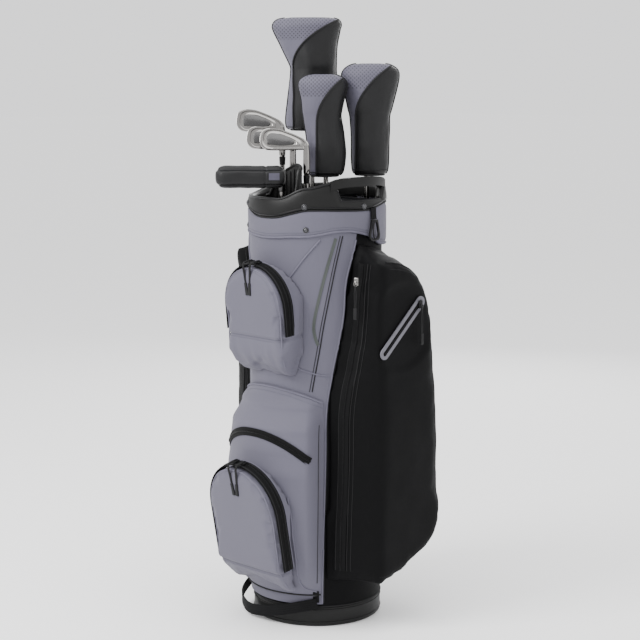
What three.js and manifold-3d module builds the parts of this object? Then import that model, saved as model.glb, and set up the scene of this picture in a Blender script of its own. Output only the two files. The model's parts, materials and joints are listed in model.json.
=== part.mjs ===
// A golf cart bag standing upright with its set of clubs and their head covers.
// Millimetres, +Z up. The origin is the centre of the base's underside. The bag's front, with the
// grey pockets, faces -Y, and the black apparel pockets are on +X and -X.
import * as THREE from 'three';
import { mergeVertices } from 'three/addons/utils/BufferGeometryUtils.js';
import Module from 'manifold-3d';

const wasm = await Module();
wasm.setup();

// ---------------------------------------------------------------- driving dimensions
const GAP = 0.35;
const BASE = { radius: 126, height: 38, wall: 8, floor: 6 };
const LINER = { inner: 114.5, outer: 117.5, low: 6.4, top: 786 };
const FABRIC = { inner: 118, outer: 126 };
const COLLAR = { inner: 118, outer: 134 };
const PANEL = { inner: FABRIC.outer + 1, outer: 131, low: 46 };
const THROAT = { inner: 119, outer: 134 };
const HANDLE = { radius: 126.5, z: 856, wide: 15, tall: 17, start: 57, end: 123 };
const WELL = { inner: 34, outer: 38, from: -56, to: 150, low: 6.4, lip: 826, lobe: 884 };
const DIVIDER = { thick: 3, low: 6.4, top: 822, reach: LINER.inner - GAP };
const MID = { side: 51, low: 64, top: 470, drop: 27 };
const UPPER_POCKET = { radius: 80, y: -172, z: 620, lean: 0.1, low: 136, seam: 55, tuckFrom: 98, depth: 76 };
const BALL_POCKET = { radius: 92, y: -203, z: 230, lean: 0.186, low: 168, seam: 112, tuckFrom: 120, depth: 106 };
const ZIP = { width: 24, thick: 2, inset: 7 };
const SLIDER = { long: 12, wide: 9, tall: 4.5, pull: 34 };
const SIDE = { inner: 92, outer: 202, bevel: 12, front: -38, topSlope: 0.42 };
const SPINE = { from: 154, to: 206, outer: 141, low: 62 };
const CLUB_TURN = 46;
const FLOOR_REST = BASE.floor + 0.5;
const GRIP = { length: 262, butt: 12, mouth: 9.2, bore: 7.4 };
const SHAFT = { butt: 7, tip: 4.7, ferrule: 6.3 };
const COVER_WALL = 2.5;

// Shaft places in the clubs' own turned axes: across from the bag's left to its right, and back.
const CLUBS = {
  driver: { across: -9.7, back: 88, shaftTop: 1048 },
  fairway: { across: 96, back: 28, shaftTop: 968 },
  hybrid: { across: 16.9, back: -8, shaftTop: 958 },
  long_iron: { across: -67, back: 13, shaftTop: 898, bladeZ: 943, loft: 24 },
  mid_iron: { across: -46, back: -19, shaftTop: 866, bladeZ: 911, loft: 24 },
  short_iron: { across: -20, back: -51, shaftTop: 866, bladeZ: 910, loft: 30 },
  putter: { across: -66, back: -72, shaftTop: 836 },
};

// Head cover sections from the hem up: height, shift across, half width, half depth.
const COVERS = {
  driver: {
    split: 1075,
    sock: [[947, -3, 38, 34], [957, -1.5, 50, 42], [1010, 1, 49, 44], [1060, 3, 45, 47]],
    edge: [2, 46, 49],
    crown: [[1110, -6, 55, 46], [1140, -11, 66, 45], [1152, -10, 68, 44], [1161, -8, 60, 36], [1165, -4, 40, 22]],
    head: { shift: 2, radii: [41, 41, 36], z: 1116 },
  },
  fairway: {
    split: 990,
    sock: [[862, 7, 28, 26], [872, 7, 35, 32], [911, 7, 36, 34], [970, 7, 38, 36]],
    edge: [7, 43, 39],
    crown: [[1020, 7, 50, 41], [1050, 7, 56, 42], [1064, 8, 52, 38], [1073, 8, 38, 28], [1076, 8, 20, 15]],
    head: { shift: 7, radii: [38, 34, 26], z: 1031 },
  },
  hybrid: {
    split: 985,
    sock: [[862, -2, 26, 24], [871, 0, 34, 30], [913, 1, 36, 32], [970, -6, 36, 31]],
    edge: [-7, 38, 32],
    crown: [[1010, -6, 42, 35], [1032, -6, 47, 36], [1044, -6, 44, 33], [1052, -6, 32, 24], [1055, -6, 18, 13]],
    head: { shift: -7, radii: [33, 27, 23], z: 1017 },
  },
};
const PUTTER_COVER = { toe: -127, heel: 10, front: -28, rear: 12, low: 842, top: 886, wall: 2.6 };
const PUTTER_HEAD = { toe: -112, heel: 7, front: -20, rear: 4, low: 851, top: 878 };

// ---------------------------------------------------------------- materials
const material = (color, roughness, metalness = 0) =>
  new THREE.MeshStandardMaterial({ color, roughness, metalness });
const MATERIALS = {
  greyFabric: material('#8f8c9b', 0.85),
  blackFabric: material('#17171a', 0.85),
  rubber: material('#202123', 0.6),
  zip: material('#0e0e10', 0.7),
  webbing: material('#101012', 0.8),
  greyTrim: material('#96959c', 0.6),
  chrome: material('#d8d6d2', 0.15, 1),
  coverSkin: material('#1b1b1d', 0.45),
  lining: material('#26262a', 0.9),
  headPaint: material('#3b3b44', 0.3, 0.4),
  grip: material('#141414', 0.9),
};

// ---------------------------------------------------------------- shaping helpers
const radians = THREE.MathUtils.degToRad;
const lerp = THREE.MathUtils.lerp;
const smooth = THREE.MathUtils.smoothstep;

// A point on the bag: the bearing turns from the front (-Y) towards +X.
function polar(bearing, radius, z) {
  const turn = radians(bearing);
  return new THREE.Vector3(radius * Math.sin(turn), -radius * Math.cos(turn), z);
}

// Reads a value at x from a short list of [x, value] pairs, easing between them.
function eased(x, pairs) {
  if (x <= pairs[0][0]) return pairs[0][1];
  for (let i = 1; i < pairs.length; i += 1) {
    const [x0, y0] = pairs[i - 1];
    const [x1, y1] = pairs[i];
    if (x <= x1) return lerp(y0, y1, smooth(x, x0, x1));
  }
  return pairs[pairs.length - 1][1];
}

function enclosedVolume(geometry) {
  const place = geometry.attributes.position;
  const [a, b, c] = [new THREE.Vector3(), new THREE.Vector3(), new THREE.Vector3()];
  let sum = 0;
  for (let i = 0; i < geometry.index.count; i += 3) {
    a.fromBufferAttribute(place, geometry.index.getX(i));
    b.fromBufferAttribute(place, geometry.index.getX(i + 1));
    c.fromBufferAttribute(place, geometry.index.getX(i + 2));
    sum += a.dot(b.cross(c));
  }
  return sum / 6;
}

// Merges shared vertices and turns the faces outwards, so that the geometry is one closed body.
function closed(source) {
  const bare = source.clone();
  bare.deleteAttribute('normal');
  bare.deleteAttribute('uv');
  if (!bare.index) bare.setIndex([...Array(bare.attributes.position.count).keys()]);
  const merged = mergeVertices(bare, 1e-3);
  const corners = [...merged.index.array];
  const kept = [];
  for (let i = 0; i < corners.length; i += 3) {
    const [a, b, c] = corners.slice(i, i + 3);
    if (a !== b && b !== c && c !== a) kept.push(a, b, c);
  }
  merged.setIndex(kept);
  if (enclosedVolume(merged) < 0) {
    for (let i = 0; i < kept.length; i += 3) [kept[i], kept[i + 1]] = [kept[i + 1], kept[i]];
    merged.setIndex(kept);
  }
  return merged;
}

function reshape(geometry, place) {
  const points = geometry.attributes.position;
  const point = new THREE.Vector3();
  for (let i = 0; i < points.count; i += 1) {
    point.fromBufferAttribute(points, i);
    const moved = place(point);
    points.setXYZ(i, moved.x, moved.y, moved.z);
  }
  return closed(geometry);
}

// A box whose three ways (across, up, through), each from 0 to 1, are carried to a bent shape.
function bentBox(across, up, through, place) {
  const box = new THREE.BoxGeometry(1, 1, 1, across, up, through);
  return reshape(box, (p) => place(p.x + 0.5, p.y + 0.5, p.z + 0.5));
}

// A ring turned about the bag's axis, whose heights may vary with the bearing.
function bentRing(profile, segments, height) {
  const outline = [...profile, profile[0]].map(([radius, z]) => new THREE.Vector2(radius, z));
  const ring = new THREE.LatheGeometry(outline, segments);
  return reshape(ring, (p) => {
    const bearing = THREE.MathUtils.radToDeg(Math.atan2(p.x, p.z));
    return polar(bearing, Math.hypot(p.x, p.z), height(bearing, p.y));
  });
}

// A turned piece: its profile of [radius, z] pairs starts and ends on the axis.
function turned(profile, segments) {
  const lathe = new THREE.LatheGeometry(profile.map(([radius, z]) => new THREE.Vector2(radius, z)), segments);
  return reshape(lathe, (p) => new THREE.Vector3(p.x, -p.z, p.y));
}

// A body through oval sections, each given as height, shift across, half width and half depth.
function loft(sections, sides) {
  const rows = sections.length - 1;
  const tube = new THREE.CylinderGeometry(1, 1, 1, sides, rows);
  return reshape(tube, (p) => {
    const [z, shift, halfWidth, halfDepth] = sections[Math.round((p.y + 0.5) * rows)];
    return new THREE.Vector3(shift + p.x * halfWidth, p.z * halfDepth, z);
  });
}

function toSolid(geometry) {
  const vertProperties = new Float32Array(geometry.attributes.position.array);
  const triVerts = new Uint32Array(geometry.index.array);
  return new wasm.Manifold(new wasm.Mesh({ numProp: 3, vertProperties, triVerts }));
}

function toGeometry(solid) {
  const mesh = solid.getMesh();
  const geometry = new THREE.BufferGeometry();
  geometry.setAttribute('position', new THREE.BufferAttribute(new Float32Array(mesh.vertProperties), 3));
  geometry.setIndex([...mesh.triVerts]);
  return geometry;
}

// Cuts the tools out of a body and keeps its largest piece.
function cut(body, ...tools) {
  const rest = tools.reduce((left, tool) => left.subtract(toSolid(tool)), toSolid(body));
  const pieces = rest.decompose().sort((a, b) => b.volume() - a.volume());
  return toGeometry(pieces[0]);
}

function join(first, ...more) {
  return toGeometry(more.reduce((sum, part) => sum.add(toSolid(part)), toSolid(first)));
}

function boxBetween(low, high) {
  return bentBox(1, 1, 1, (a, b, c) => new THREE.Vector3(
    lerp(low[0], high[0], a), lerp(low[1], high[1], b), lerp(low[2], high[2], c)));
}

function rod(radius, low, high, sides = 14) {
  return turned([[0, low], [radius, low], [radius, high], [0, high]], sides);
}

function mirrored(geometry) {
  return reshape(geometry.clone(), (p) => new THREE.Vector3(-p.x, p.y, p.z));
}

const bag = new THREE.Group();

function add(parent, name, geometry, look) {
  const mesh = new THREE.Mesh(geometry, look);
  mesh.name = name;
  parent.add(mesh);
  return mesh;
}

// ---------------------------------------------------------------- heights round the bag
const collarLow = (bearing) => eased(Math.abs(bearing),
  [[0, 750], [35, 754], [68, 764], [84, 759], [116, 733], [180, 728]]);
const collarTop = (bearing) => eased(Math.abs(bearing),
  [[5, 790], [42, 806], [90, 804], [120, 814], [180, 816]]);
const throatTop = (bearing) => eased(bearing,
  [[-180, 842], [-100, 838], [-55, 826], [12, 826], [38, 846], [60, 856], [66, 822], [114, 822], [120, 856],
    [145, 846], [180, 842]]);

// ---------------------------------------------------------------- bag structure
function baseCup() {
  const { radius, height, wall, floor } = BASE;
  return turned([[0, 0], [radius - 3, 0], [radius, 5], [radius - 1, height],
    [radius - wall, height], [radius - wall, floor], [0, floor]], 48);
}

function linerTube() {
  const { inner, outer, low, top } = LINER;
  return bentRing([[inner, low], [outer, low], [outer, top], [inner, top]], 48, (bearing, z) => z);
}

function bodyFabric() {
  const { inner, outer } = FABRIC;
  const low = BASE.height + GAP;
  return bentRing([[inner, 0], [outer - 1, 0], [outer, 1], [inner, 1]], 48,
    (bearing, t) => lerp(low, collarLow(bearing) - 3 * GAP, t));
}

function collarBand() {
  const { inner, outer } = COLLAR;
  return bentRing([[inner, 0], [outer, 0], [outer, 1], [inner, 1]], 48,
    (bearing, t) => lerp(collarLow(bearing), collarTop(bearing), t));
}

function throatRing(grow = 0) {
  const { inner, outer } = THROAT;
  const profile = [[inner - grow, 0], [outer + grow, 0], [outer + 1 + grow, 0.2], [outer - 1 + grow, 0.7],
    [outer - 5 + grow, 1], [inner + 4 - grow, 1], [inner - grow, 0.8]];
  return bentRing(profile, 72, (bearing, t) =>
    lerp(collarTop(bearing) + 2 * GAP - grow, throatTop(bearing) + grow, t));
}

function sideHandle() {
  const { radius, z, wide, tall, start, end } = HANDLE;
  const bar = bentBox(12, 1, 1, (a, h, d) => {
    const droop = 8 * (2 * a - 1) ** 4;
    return polar(lerp(start, end, a), radius + (d - 0.5) * wide, z - droop + (h - 0.5) * tall);
  });
  return cut(bar, throatRing(GAP));
}

function putterWell() {
  const { inner, outer, from, to, low, lip, lobe } = WELL;
  const { across, back } = CLUBS.putter;
  return bentBox(20, 1, 1, (a, h, d) => {
    const angle = lerp(from, to, a);
    const top = eased(angle, [[-50, lip], [-25, lobe - 8], [40, lobe], [90, lobe - 12], [138, lip]]);
    const radius = lerp(inner, outer, d);
    const way = radians(angle);
    return turnedPoint(across + radius * Math.cos(way), back + radius * Math.sin(way), lerp(low, top, h));
  });
}

// A point given in the clubs' turned axes, carried to the bag's axes.
function turnedPoint(across, back, z) {
  return new THREE.Vector3(across, back, z).applyAxisAngle(new THREE.Vector3(0, 0, 1), radians(CLUB_TURN));
}

// Full-length divider walls. Each runs along X or Y between two ends, and stops short of the liner.
function dividerWalls() {
  const { thick, low, top, reach } = DIVIDER;
  const chord = (offset) => Math.sqrt(reach ** 2 - (Math.abs(offset) + thick / 2) ** 2);
  const [front, rear] = [-16, 30];
  const edge = thick / 2 + GAP;
  const wellTop = turnedPoint(CLUBS.putter.across, CLUBS.putter.back, 0);
  const alongX = (y) => boxBetween([-chord(y), y - thick / 2, low], [chord(y), y + thick / 2, top]);
  const alongY = (x, y0, y1) => boxBetween([x - thick / 2, y0, low], [x + thick / 2, y1, top]);
  add(bag, 'divider_front', alongX(front), MATERIALS.lining);
  add(bag, 'divider_rear', alongX(rear), MATERIALS.lining);
  add(bag, 'divider_back', alongY(-5, rear + edge, chord(5)), MATERIALS.lining);
  add(bag, 'divider_middle', alongY(2, wellTop.y + WELL.outer + GAP, front - edge), MATERIALS.lining);
}

// ---------------------------------------------------------------- front
const panelEdge = (z) => eased(z, [[46, 51], [400, 54], [640, 70], [760, 81]]);

function frontPanel(grow = 0) {
  return bentBox(20, 14, 1, (a, h, d) => {
    const edge = panelEdge(lerp(PANEL.low, 750, h)) + grow / 2;
    const bearing = lerp(-edge, edge, a);
    const z = lerp(PANEL.low - grow, collarLow(bearing) - 3 * GAP, h);
    return polar(bearing, lerp(PANEL.inner - grow, PANEL.outer + grow, d), z);
  });
}

// How far the lower front pocket stands out, by height and bearing.
function midBulge(z, bearing) {
  const rise = eased(z, [[64, 6], [120, 30], [200, 44], [300, 42], [345, 37], [388, 33], [430, 14], [455, 3]]);
  return 2 + rise * (1 - smooth(Math.abs(bearing), 38, 52));
}

function midPocket(grow = 0) {
  const inner = grow ? 60 : PANEL.outer + GAP;
  return bentBox(14, 12, 1, (a, h, d) => {
    const sweep = lerp(-1, 1, a);
    const bearing = sweep * (MID.side + grow / 2);
    const z = lerp(MID.low - grow, MID.top - MID.drop * sweep ** 2 + grow, h);
    const outer = PANEL.outer + GAP + midBulge(z, bearing) + grow;
    return polar(bearing, lerp(inner, outer, d), z);
  });
}

// The arched face of a front pocket leans out as it rises. Its own ways are across, up the face
// from the arch's centre, and out of the face.
function onFace(pocket, across, up, out) {
  const tilt = Math.atan(pocket.lean);
  return new THREE.Vector3(
    across,
    pocket.y - up * Math.sin(tilt) - out * Math.cos(tilt),
    pocket.z + up * Math.cos(tilt) - out * Math.sin(tilt));
}

function archedPocket(pocket) {
  const { radius, low, tuckFrom, depth } = pocket;
  const straight = 0.4;
  return bentBox(10, 14, 1, (a, h, d) => {
    const rise = (h - straight) / (1 - straight);
    const up = h < straight ? lerp(-low, 0, h / straight) : radius * Math.sin(rise * radians(84));
    const rim = h < straight ? radius - 12 * smooth(-up, tuckFrom - 20, low) : radius * Math.cos(rise * radians(84));
    const across = (2 * a - 1) * rim;
    const tuck = Math.max(0, -up - tuckFrom) * 0.8;
    return onFace(pocket, across, up, d > 0.5 ? -tuck : -depth);
  });
}

// The zip runs round the pocket's wall, up one side, over the arch and down the other.
function archedZip(pocket) {
  const { radius, seam } = pocket;
  const side = seam - 6;
  const arc = Math.PI * radius;
  const total = arc + 2 * side;
  return bentBox(28, 1, 1, (a, h, d) => {
    const run = a * total;
    const reach = radius + GAP + 0.5 + d * ZIP.thick;
    const out = -ZIP.inset - h * ZIP.width;
    if (run < side) return onFace(pocket, -reach, run - side, out);
    if (run > side + arc) return onFace(pocket, reach, side + arc - run, out);
    const turn = Math.PI - (run - side) / radius;
    return onFace(pocket, reach * Math.cos(turn), reach * Math.sin(turn), out);
  });
}

// A slider sits on the zip near the arch's top, with its cord pull hanging down over the face.
function archedSlider(pocket, turn) {
  const { radius } = pocket;
  const base = radius + GAP + 0.5 + ZIP.thick + GAP;
  const middle = -ZIP.inset - ZIP.width / 2;
  const block = (halfWide, low, high, inner, outer) => bentBox(2, 1, 1, (a, h, d) => {
    const angle = Math.PI / 2 - radians(turn) - ((2 * a - 1) * halfWide) / base;
    const reach = base + lerp(low, high, d);
    return onFace(pocket, reach * Math.cos(angle), reach * Math.sin(angle), lerp(inner, outer, h));
  });
  const slider = block(SLIDER.wide / 2, 0, SLIDER.tall, middle - SLIDER.long / 2, middle + SLIDER.long / 2);
  const arm = block(2, 1.2, 3.6, middle, 4.5);
  const cord = block(2, -SLIDER.pull, 3.6, 2, 4.5);
  const tag = block(3.4, -SLIDER.pull - 16, -SLIDER.pull + 1, 1.2, 5.4);
  return join(slider, arm, cord, tag);
}

// The middle zip lies on a circle about a leaning axis.
const MID_ZIP = { y: -79.5, z: 277, radius: 135.4, upY: -0.6365, upZ: 0.7705, half: 56, width: 17 };

function midZip() {
  const { y, z, radius, upY, upZ, half, width } = MID_ZIP;
  return bentBox(24, 1, 1, (a, h, d) => {
    const turn = radians(lerp(-half, half, a));
    const rise = radius * Math.cos(turn) + (h - 0.5) * width;
    const x = (radius + (h - 0.5) * width) * Math.sin(turn);
    const place = new THREE.Vector3(x, y + rise * upY, z + rise * upZ - (h - 0.5) * 4);
    const bearing = THREE.MathUtils.radToDeg(Math.atan2(place.x, -place.y));
    const skin = PANEL.outer + GAP + midBulge(place.z, bearing) + 1.6;
    return polar(bearing, skin + d * ZIP.thick, place.z);
  });
}

// ---------------------------------------------------------------- sides
// The apparel pocket's outer face seen from its side, as [Y, Z] pairs.
function sideOutline() {
  const shape = new THREE.Shape();
  shape.moveTo(SIDE.front, 90);
  shape.lineTo(38, 106);
  shape.lineTo(84, 129);
  shape.quadraticCurveTo(148, 156, 147, 230);
  shape.lineTo(137, 449);
  shape.lineTo(126, 540);
  shape.quadraticCurveTo(110, 690, 30, 704);
  const steps = 12;
  for (let step = 0; step < steps; step += 1) shape.lineTo(SIDE.front, lerp(716, 90, step / steps));
  return shape;
}

// Where the black side begins on the bag's skin.
const sideSeam = (z) => polar(panelEdge(z) + 0.6, PANEL.outer + 1, z);

// A point on the pocket's front wall: along it from the seam, and out of it.
function onSideWall(z, along, out) {
  const seam = sideSeam(z);
  const way = new THREE.Vector3(SIDE.outer - SIDE.bevel, SIDE.front, z).sub(seam).normalize();
  const normal = new THREE.Vector3(way.y, -way.x, 0);
  return seam.addScaledVector(way, along).addScaledVector(normal, out);
}

function sidePocket(flip = (geometry) => geometry) {
  const { inner, outer, bevel, topSlope, front } = SIDE;
  const block = new THREE.ExtrudeGeometry(sideOutline(), {
    depth: outer - inner - bevel, bevelEnabled: true, bevelThickness: bevel, bevelSize: bevel,
    bevelOffset: -bevel, bevelSegments: 2, curveSegments: 6,
  });
  const body = reshape(block, (p) => {
    const inward = Math.max(0, outer - inner - bevel - p.z);
    const z = p.y + inward * topSlope * smooth(p.y, 560, 700);
    const seam = sideSeam(z);
    const slope = (front - seam.y) / (outer - bevel - seam.x);
    const y = p.x - inward * slope * (1 - smooth(p.x, front + bevel, 40));
    return new THREE.Vector3(inner + p.z, y, z);
  });
  const keepOut = [rod(FABRIC.outer + GAP, 0, 900, 48), frontPanel(2 * GAP), midPocket(GAP), collarCutter()];
  return cut(flip(body), ...keepOut);
}

// Everything inside and above the collar's lower edge, with a gap.
function collarCutter() {
  return bentRing([[60, 0], [COLLAR.outer + GAP, 0], [COLLAR.outer + GAP, 1], [60, 1]], 48,
    (bearing, t) => lerp(collarLow(bearing) - GAP, 900, t));
}

// The long zip runs down the pocket's front wall, a steady way from the seam.
const SIDE_TRACK = { along: 34, out: 4, width: 20, low: 118, top: 706, sliderZ: 674 };

function sideZip() {
  const { along, out, width, low, top } = SIDE_TRACK;
  return bentBox(1, 16, 1, (a, h, d) =>
    onSideWall(lerp(low, top, h), along + (a - 0.5) * width, out + d * ZIP.thick));
}

function sideSlider() {
  const base = SIDE_TRACK.out + ZIP.thick + 5;
  const { along, sliderZ } = SIDE_TRACK;
  const foot = onSideWall(sliderZ, along, 0);
  const [way, normal] = [onSideWall(sliderZ, along + 1, 0).sub(foot), onSideWall(sliderZ, along, 1).sub(foot)];
  const block = (half, from, to, low, high) => bentBox(1, 1, 1, (a, h, d) => {
    const place = foot.clone().addScaledVector(way, (2 * a - 1) * half).addScaledVector(normal, base + lerp(low, high, d));
    return place.setZ(sliderZ + lerp(from, to, h));
  });
  return join(block(5.5, -8, 8, 0, 5), block(1.8, -62, 2, 3, 6.4), block(3.2, -84, -61, 2.4, 7));
}

// The slanting pocket zip: a slot-shaped trim frame, with the slider at its upper end.
const SLANT = { x: SIDE.outer + GAP, y: 27, z: 584, half: 66, turn: 42.5, outer: 11, inner: 4.2, thick: 2.4 };

function slotShape(half, radius) {
  const shape = new THREE.Shape();
  shape.absarc(half, 0, radius, -Math.PI / 2, Math.PI / 2);
  shape.absarc(-half, 0, radius, Math.PI / 2, (3 * Math.PI) / 2);
  return shape;
}

function onSlant(along, aside, out) {
  const turn = radians(SLANT.turn);
  return new THREE.Vector3(
    SLANT.x + out,
    SLANT.y + along * Math.cos(turn) - aside * Math.sin(turn),
    SLANT.z + along * Math.sin(turn) + aside * Math.cos(turn));
}

function slantFrame() {
  const shape = slotShape(SLANT.half, SLANT.outer);
  shape.holes.push(slotShape(SLANT.half, SLANT.inner));
  const frame = new THREE.ExtrudeGeometry(shape, { depth: SLANT.thick, bevelEnabled: false, curveSegments: 8 });
  return reshape(frame, (p) => onSlant(p.x, p.y, p.z));
}

function slantSlider() {
  const base = SLANT.thick + GAP;
  const block = (half, from, to, inner, outer) => bentBox(1, 1, 1, (a, h, d) => {
    const place = onSlant(SLANT.half - 6, 0, lerp(inner, outer, d));
    return new THREE.Vector3(place.x, place.y + (2 * a - 1) * half, place.z + lerp(from, to, h));
  });
  return join(block(5.5, -7, 7, base, base + 5), block(1.8, -62, 2, base + 3, base + 6.4),
    block(3.2, -82, -61, base + 2.4, base + 7));
}

function spinePanel() {
  const { from, to, outer, low } = SPINE;
  return bentBox(8, 8, 1, (a, h, d) => {
    const bearing = lerp(from, to, a);
    const puff = (outer - PANEL.inner - 4) * Math.sin(a * Math.PI) ** 0.5;
    const signed = bearing > 180 ? bearing - 360 : bearing;
    const z = lerp(low, collarLow(signed) - 6, h);
    return polar(bearing, lerp(PANEL.inner, PANEL.inner + 4 + puff, d), z);
  });
}

// ---------------------------------------------------------------- webbing and ring
// A flat strap swept along points, its width held upright in the bag's radial way.
function strap(points, width, thick, steps) {
  const path = new THREE.CatmullRomCurve3(points);
  return bentBox(steps, 1, 1, (a, h, d) => {
    const centre = path.getPoint(a);
    const ahead = path.getTangent(a);
    const outward = new THREE.Vector3(centre.x, centre.y, 0).normalize();
    const side = new THREE.Vector3().crossVectors(ahead, outward).normalize();
    const face = new THREE.Vector3().crossVectors(side, ahead).normalize();
    return centre.addScaledVector(side, (h - 0.5) * width).addScaledVector(face, (d - 0.5) * thick);
  });
}

function baseStrap() {
  const points = [polar(-80, 129.5, 66), polar(-66, 143, 42), polar(-48, 150, 24), polar(-26, 145, 16),
    polar(-6, 139, 20), polar(14, 136.5, 31), polar(32, 135.6, 42), polar(46, 134.4, 49)];
  return strap(points, 22, 2.6, 26);
}

const TOWEL = { bearing: 97, radius: 139, top: 806, bar: 780, long: 40 };

function towelStrap() {
  const { bearing, radius, top, bar } = TOWEL;
  const points = [polar(bearing, radius - 2.6, top), polar(bearing, radius - 1.6, bar + 10), polar(bearing, radius, bar + 5)];
  return strap(points, 15, 2, 6);
}

// The hanging towel ring: a tapered loop, narrow at the strap and wide at its foot.
function towelRing() {
  const { bearing, radius, bar, long } = TOWEL;
  const loop = (inset) => {
    const shape = new THREE.Shape();
    const [head, foot] = [9 - inset, 16 - inset];
    shape.moveTo(-head, -inset);
    shape.lineTo(head, -inset);
    shape.lineTo(foot, -long + 12);
    shape.quadraticCurveTo(foot, -long + inset, foot - 9, -long + inset);
    shape.lineTo(-foot + 9, -long + inset);
    shape.quadraticCurveTo(-foot, -long + inset, -foot, -long + 12);
    return shape;
  };
  const slab = (inset, from, to) => {
    const block = new THREE.ExtrudeGeometry(loop(inset), { depth: to - from, bevelEnabled: false, curveSegments: 4 });
    return reshape(block, (p) => {
      const centre = polar(bearing, radius - 1.6 + from + p.z, bar + 4 + p.y);
      return centre.addScaledVector(polar(bearing + 90, 1, 0), p.x);
    });
  };
  return cut(slab(0, 0, 4), slab(4, -2, 6));
}

// ---------------------------------------------------------------- clubs
function shaftGeometry(top) {
  const low = FLOOR_REST + 5 + GAP;
  return turned([[0, low], [SHAFT.butt, low], [SHAFT.butt, FLOOR_REST + GRIP.length], [SHAFT.tip, top - GAP], [0, top - GAP]], 12);
}

function gripGeometry() {
  const { length, butt, mouth, bore } = GRIP;
  const low = FLOOR_REST;
  return turned([[0, low], [butt - 2, low], [butt, low + 3], [mouth, low + length], [bore, low + length],
    [bore, low + 5], [0, low + 5]], 14);
}

function woodHead(club, { shift, radii, z }) {
  const ball = new THREE.SphereGeometry(1, 14, 8);
  const shell = reshape(ball, (p) => new THREE.Vector3(shift + p.x * radii[0], p.z * radii[1], z + p.y * radii[2]));
  return join(shell, rod(SHAFT.ferrule, club.shaftTop, z, 14));
}

// An iron standing head up: the toe points across to the left and the sole is uppermost. The
// outline is [across, up the blade] from the foot of the blade at the shaft.
function bladeShape(scale) {
  const shape = new THREE.Shape();
  const at = (x, s) => [-44 + (x + 44) * scale, 23 + (s - 23) * scale];
  shape.moveTo(...at(5, 4));
  shape.lineTo(...at(-70, 3));
  shape.quadraticCurveTo(...at(-88, 8), ...at(-88, 30));
  shape.quadraticCurveTo(...at(-86, 46), ...at(-70, 46));
  shape.quadraticCurveTo(...at(-30, 42), ...at(-2, 22));
  shape.quadraticCurveTo(...at(6, 16), ...at(5, 4));
  return shape;
}

function ironHead(club) {
  const tilt = radians(club.loft);
  const onBlade = (x, up, out) => new THREE.Vector3(
    x, up * Math.sin(tilt) - out * Math.cos(tilt), club.bladeZ + up * Math.cos(tilt) + out * Math.sin(tilt));
  const plate = (scale, from, to) => {
    const slab = new THREE.ExtrudeGeometry(bladeShape(scale), { depth: 1, bevelEnabled: false, curveSegments: 6 });
    return reshape(slab, (p) => onBlade(p.x, p.y, lerp(from, to(p.y), p.z)));
  };
  const blade = plate(1, -1, (up) => 3.5 + up * 0.09);
  const recess = plate(0.74, 2.2, () => 14);
  const hosel = rod(SHAFT.ferrule, club.shaftTop, club.bladeZ + 10, 14);
  return join(cut(blade, recess), hosel);
}

function putterHead(club) {
  const { toe, heel, front, rear, low, top } = PUTTER_HEAD;
  return join(boxBetween([toe, front, low], [heel, rear, top]), rod(SHAFT.ferrule, club.shaftTop, low + 5, 14));
}

function putterCover() {
  const { toe, heel, front, rear, low, top, wall } = PUTTER_COVER;
  const outline = (inset) => {
    const shape = new THREE.Shape();
    const [y0, y1, z0, z1] = [front + inset, rear - inset, low + inset, top - inset];
    const round = 9 - inset;
    shape.moveTo(y0, z0);
    shape.lineTo(y1, z0);
    shape.lineTo(y1, z1 - round);
    shape.absarc(y1 - round, z1 - round, round, 0, Math.PI / 2);
    shape.absarc(y0 + round, z1 - round, round, Math.PI / 2, Math.PI);
    return shape;
  };
  const bar = (inset, from, to) => {
    const slab = new THREE.ExtrudeGeometry(outline(inset), { depth: to - from, bevelEnabled: false, curveSegments: 4 });
    return reshape(slab, (p) => new THREE.Vector3(from + p.z, p.x, p.y));
  };
  const slot = boxBetween([-10, -10, low - 5], [heel + 5, 10, low + 10]);
  return cut(bar(0, toe, heel), bar(wall, toe + wall, heel + 5), slot);
}

function hollow(sections, wall, openTop) {
  const inner = sections.map(([z, shift, wide, deep]) => [z, shift, wide - wall, deep - wall]);
  inner[0][0] -= 1;
  inner[inner.length - 1][0] += openTop ? 1 : -wall;
  return cut(loft(sections, 16), loft(inner, 16));
}

function woodCover(group, name, cover) {
  const crown = [[cover.split, ...cover.edge], ...cover.crown];
  const sock = [...cover.sock, [cover.split - GAP, ...cover.edge]];
  add(group, `${name}_cover`, hollow(crown, COVER_WALL, false), MATERIALS.coverSkin);
  add(group, `${name}_cover_neck`, hollow(sock, COVER_WALL, true), MATERIALS.coverSkin);
}

function clubSet() {
  for (const [name, club] of Object.entries(CLUBS)) {
    const group = new THREE.Group();
    group.position.copy(turnedPoint(club.across, club.back, 0));
    group.rotation.z = radians(CLUB_TURN);
    const isIron = club.loft !== undefined;
    const isWood = name in COVERS;
    add(group, `${name}_grip`, gripGeometry(), MATERIALS.grip);
    add(group, `${name}_shaft`, shaftGeometry(club.shaftTop), MATERIALS.chrome);
    if (isIron) add(group, `${name}_head`, ironHead(club), MATERIALS.chrome);
    if (isWood) {
      add(group, `${name}_head`, woodHead(club, COVERS[name].head), MATERIALS.headPaint);
      woodCover(group, name, COVERS[name]);
    }
    if (name === 'putter') {
      add(group, 'putter_head', putterHead(club), MATERIALS.chrome);
      add(group, 'putter_cover', putterCover(), MATERIALS.coverSkin);
    }
    bag.add(group);
  }
}

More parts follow.
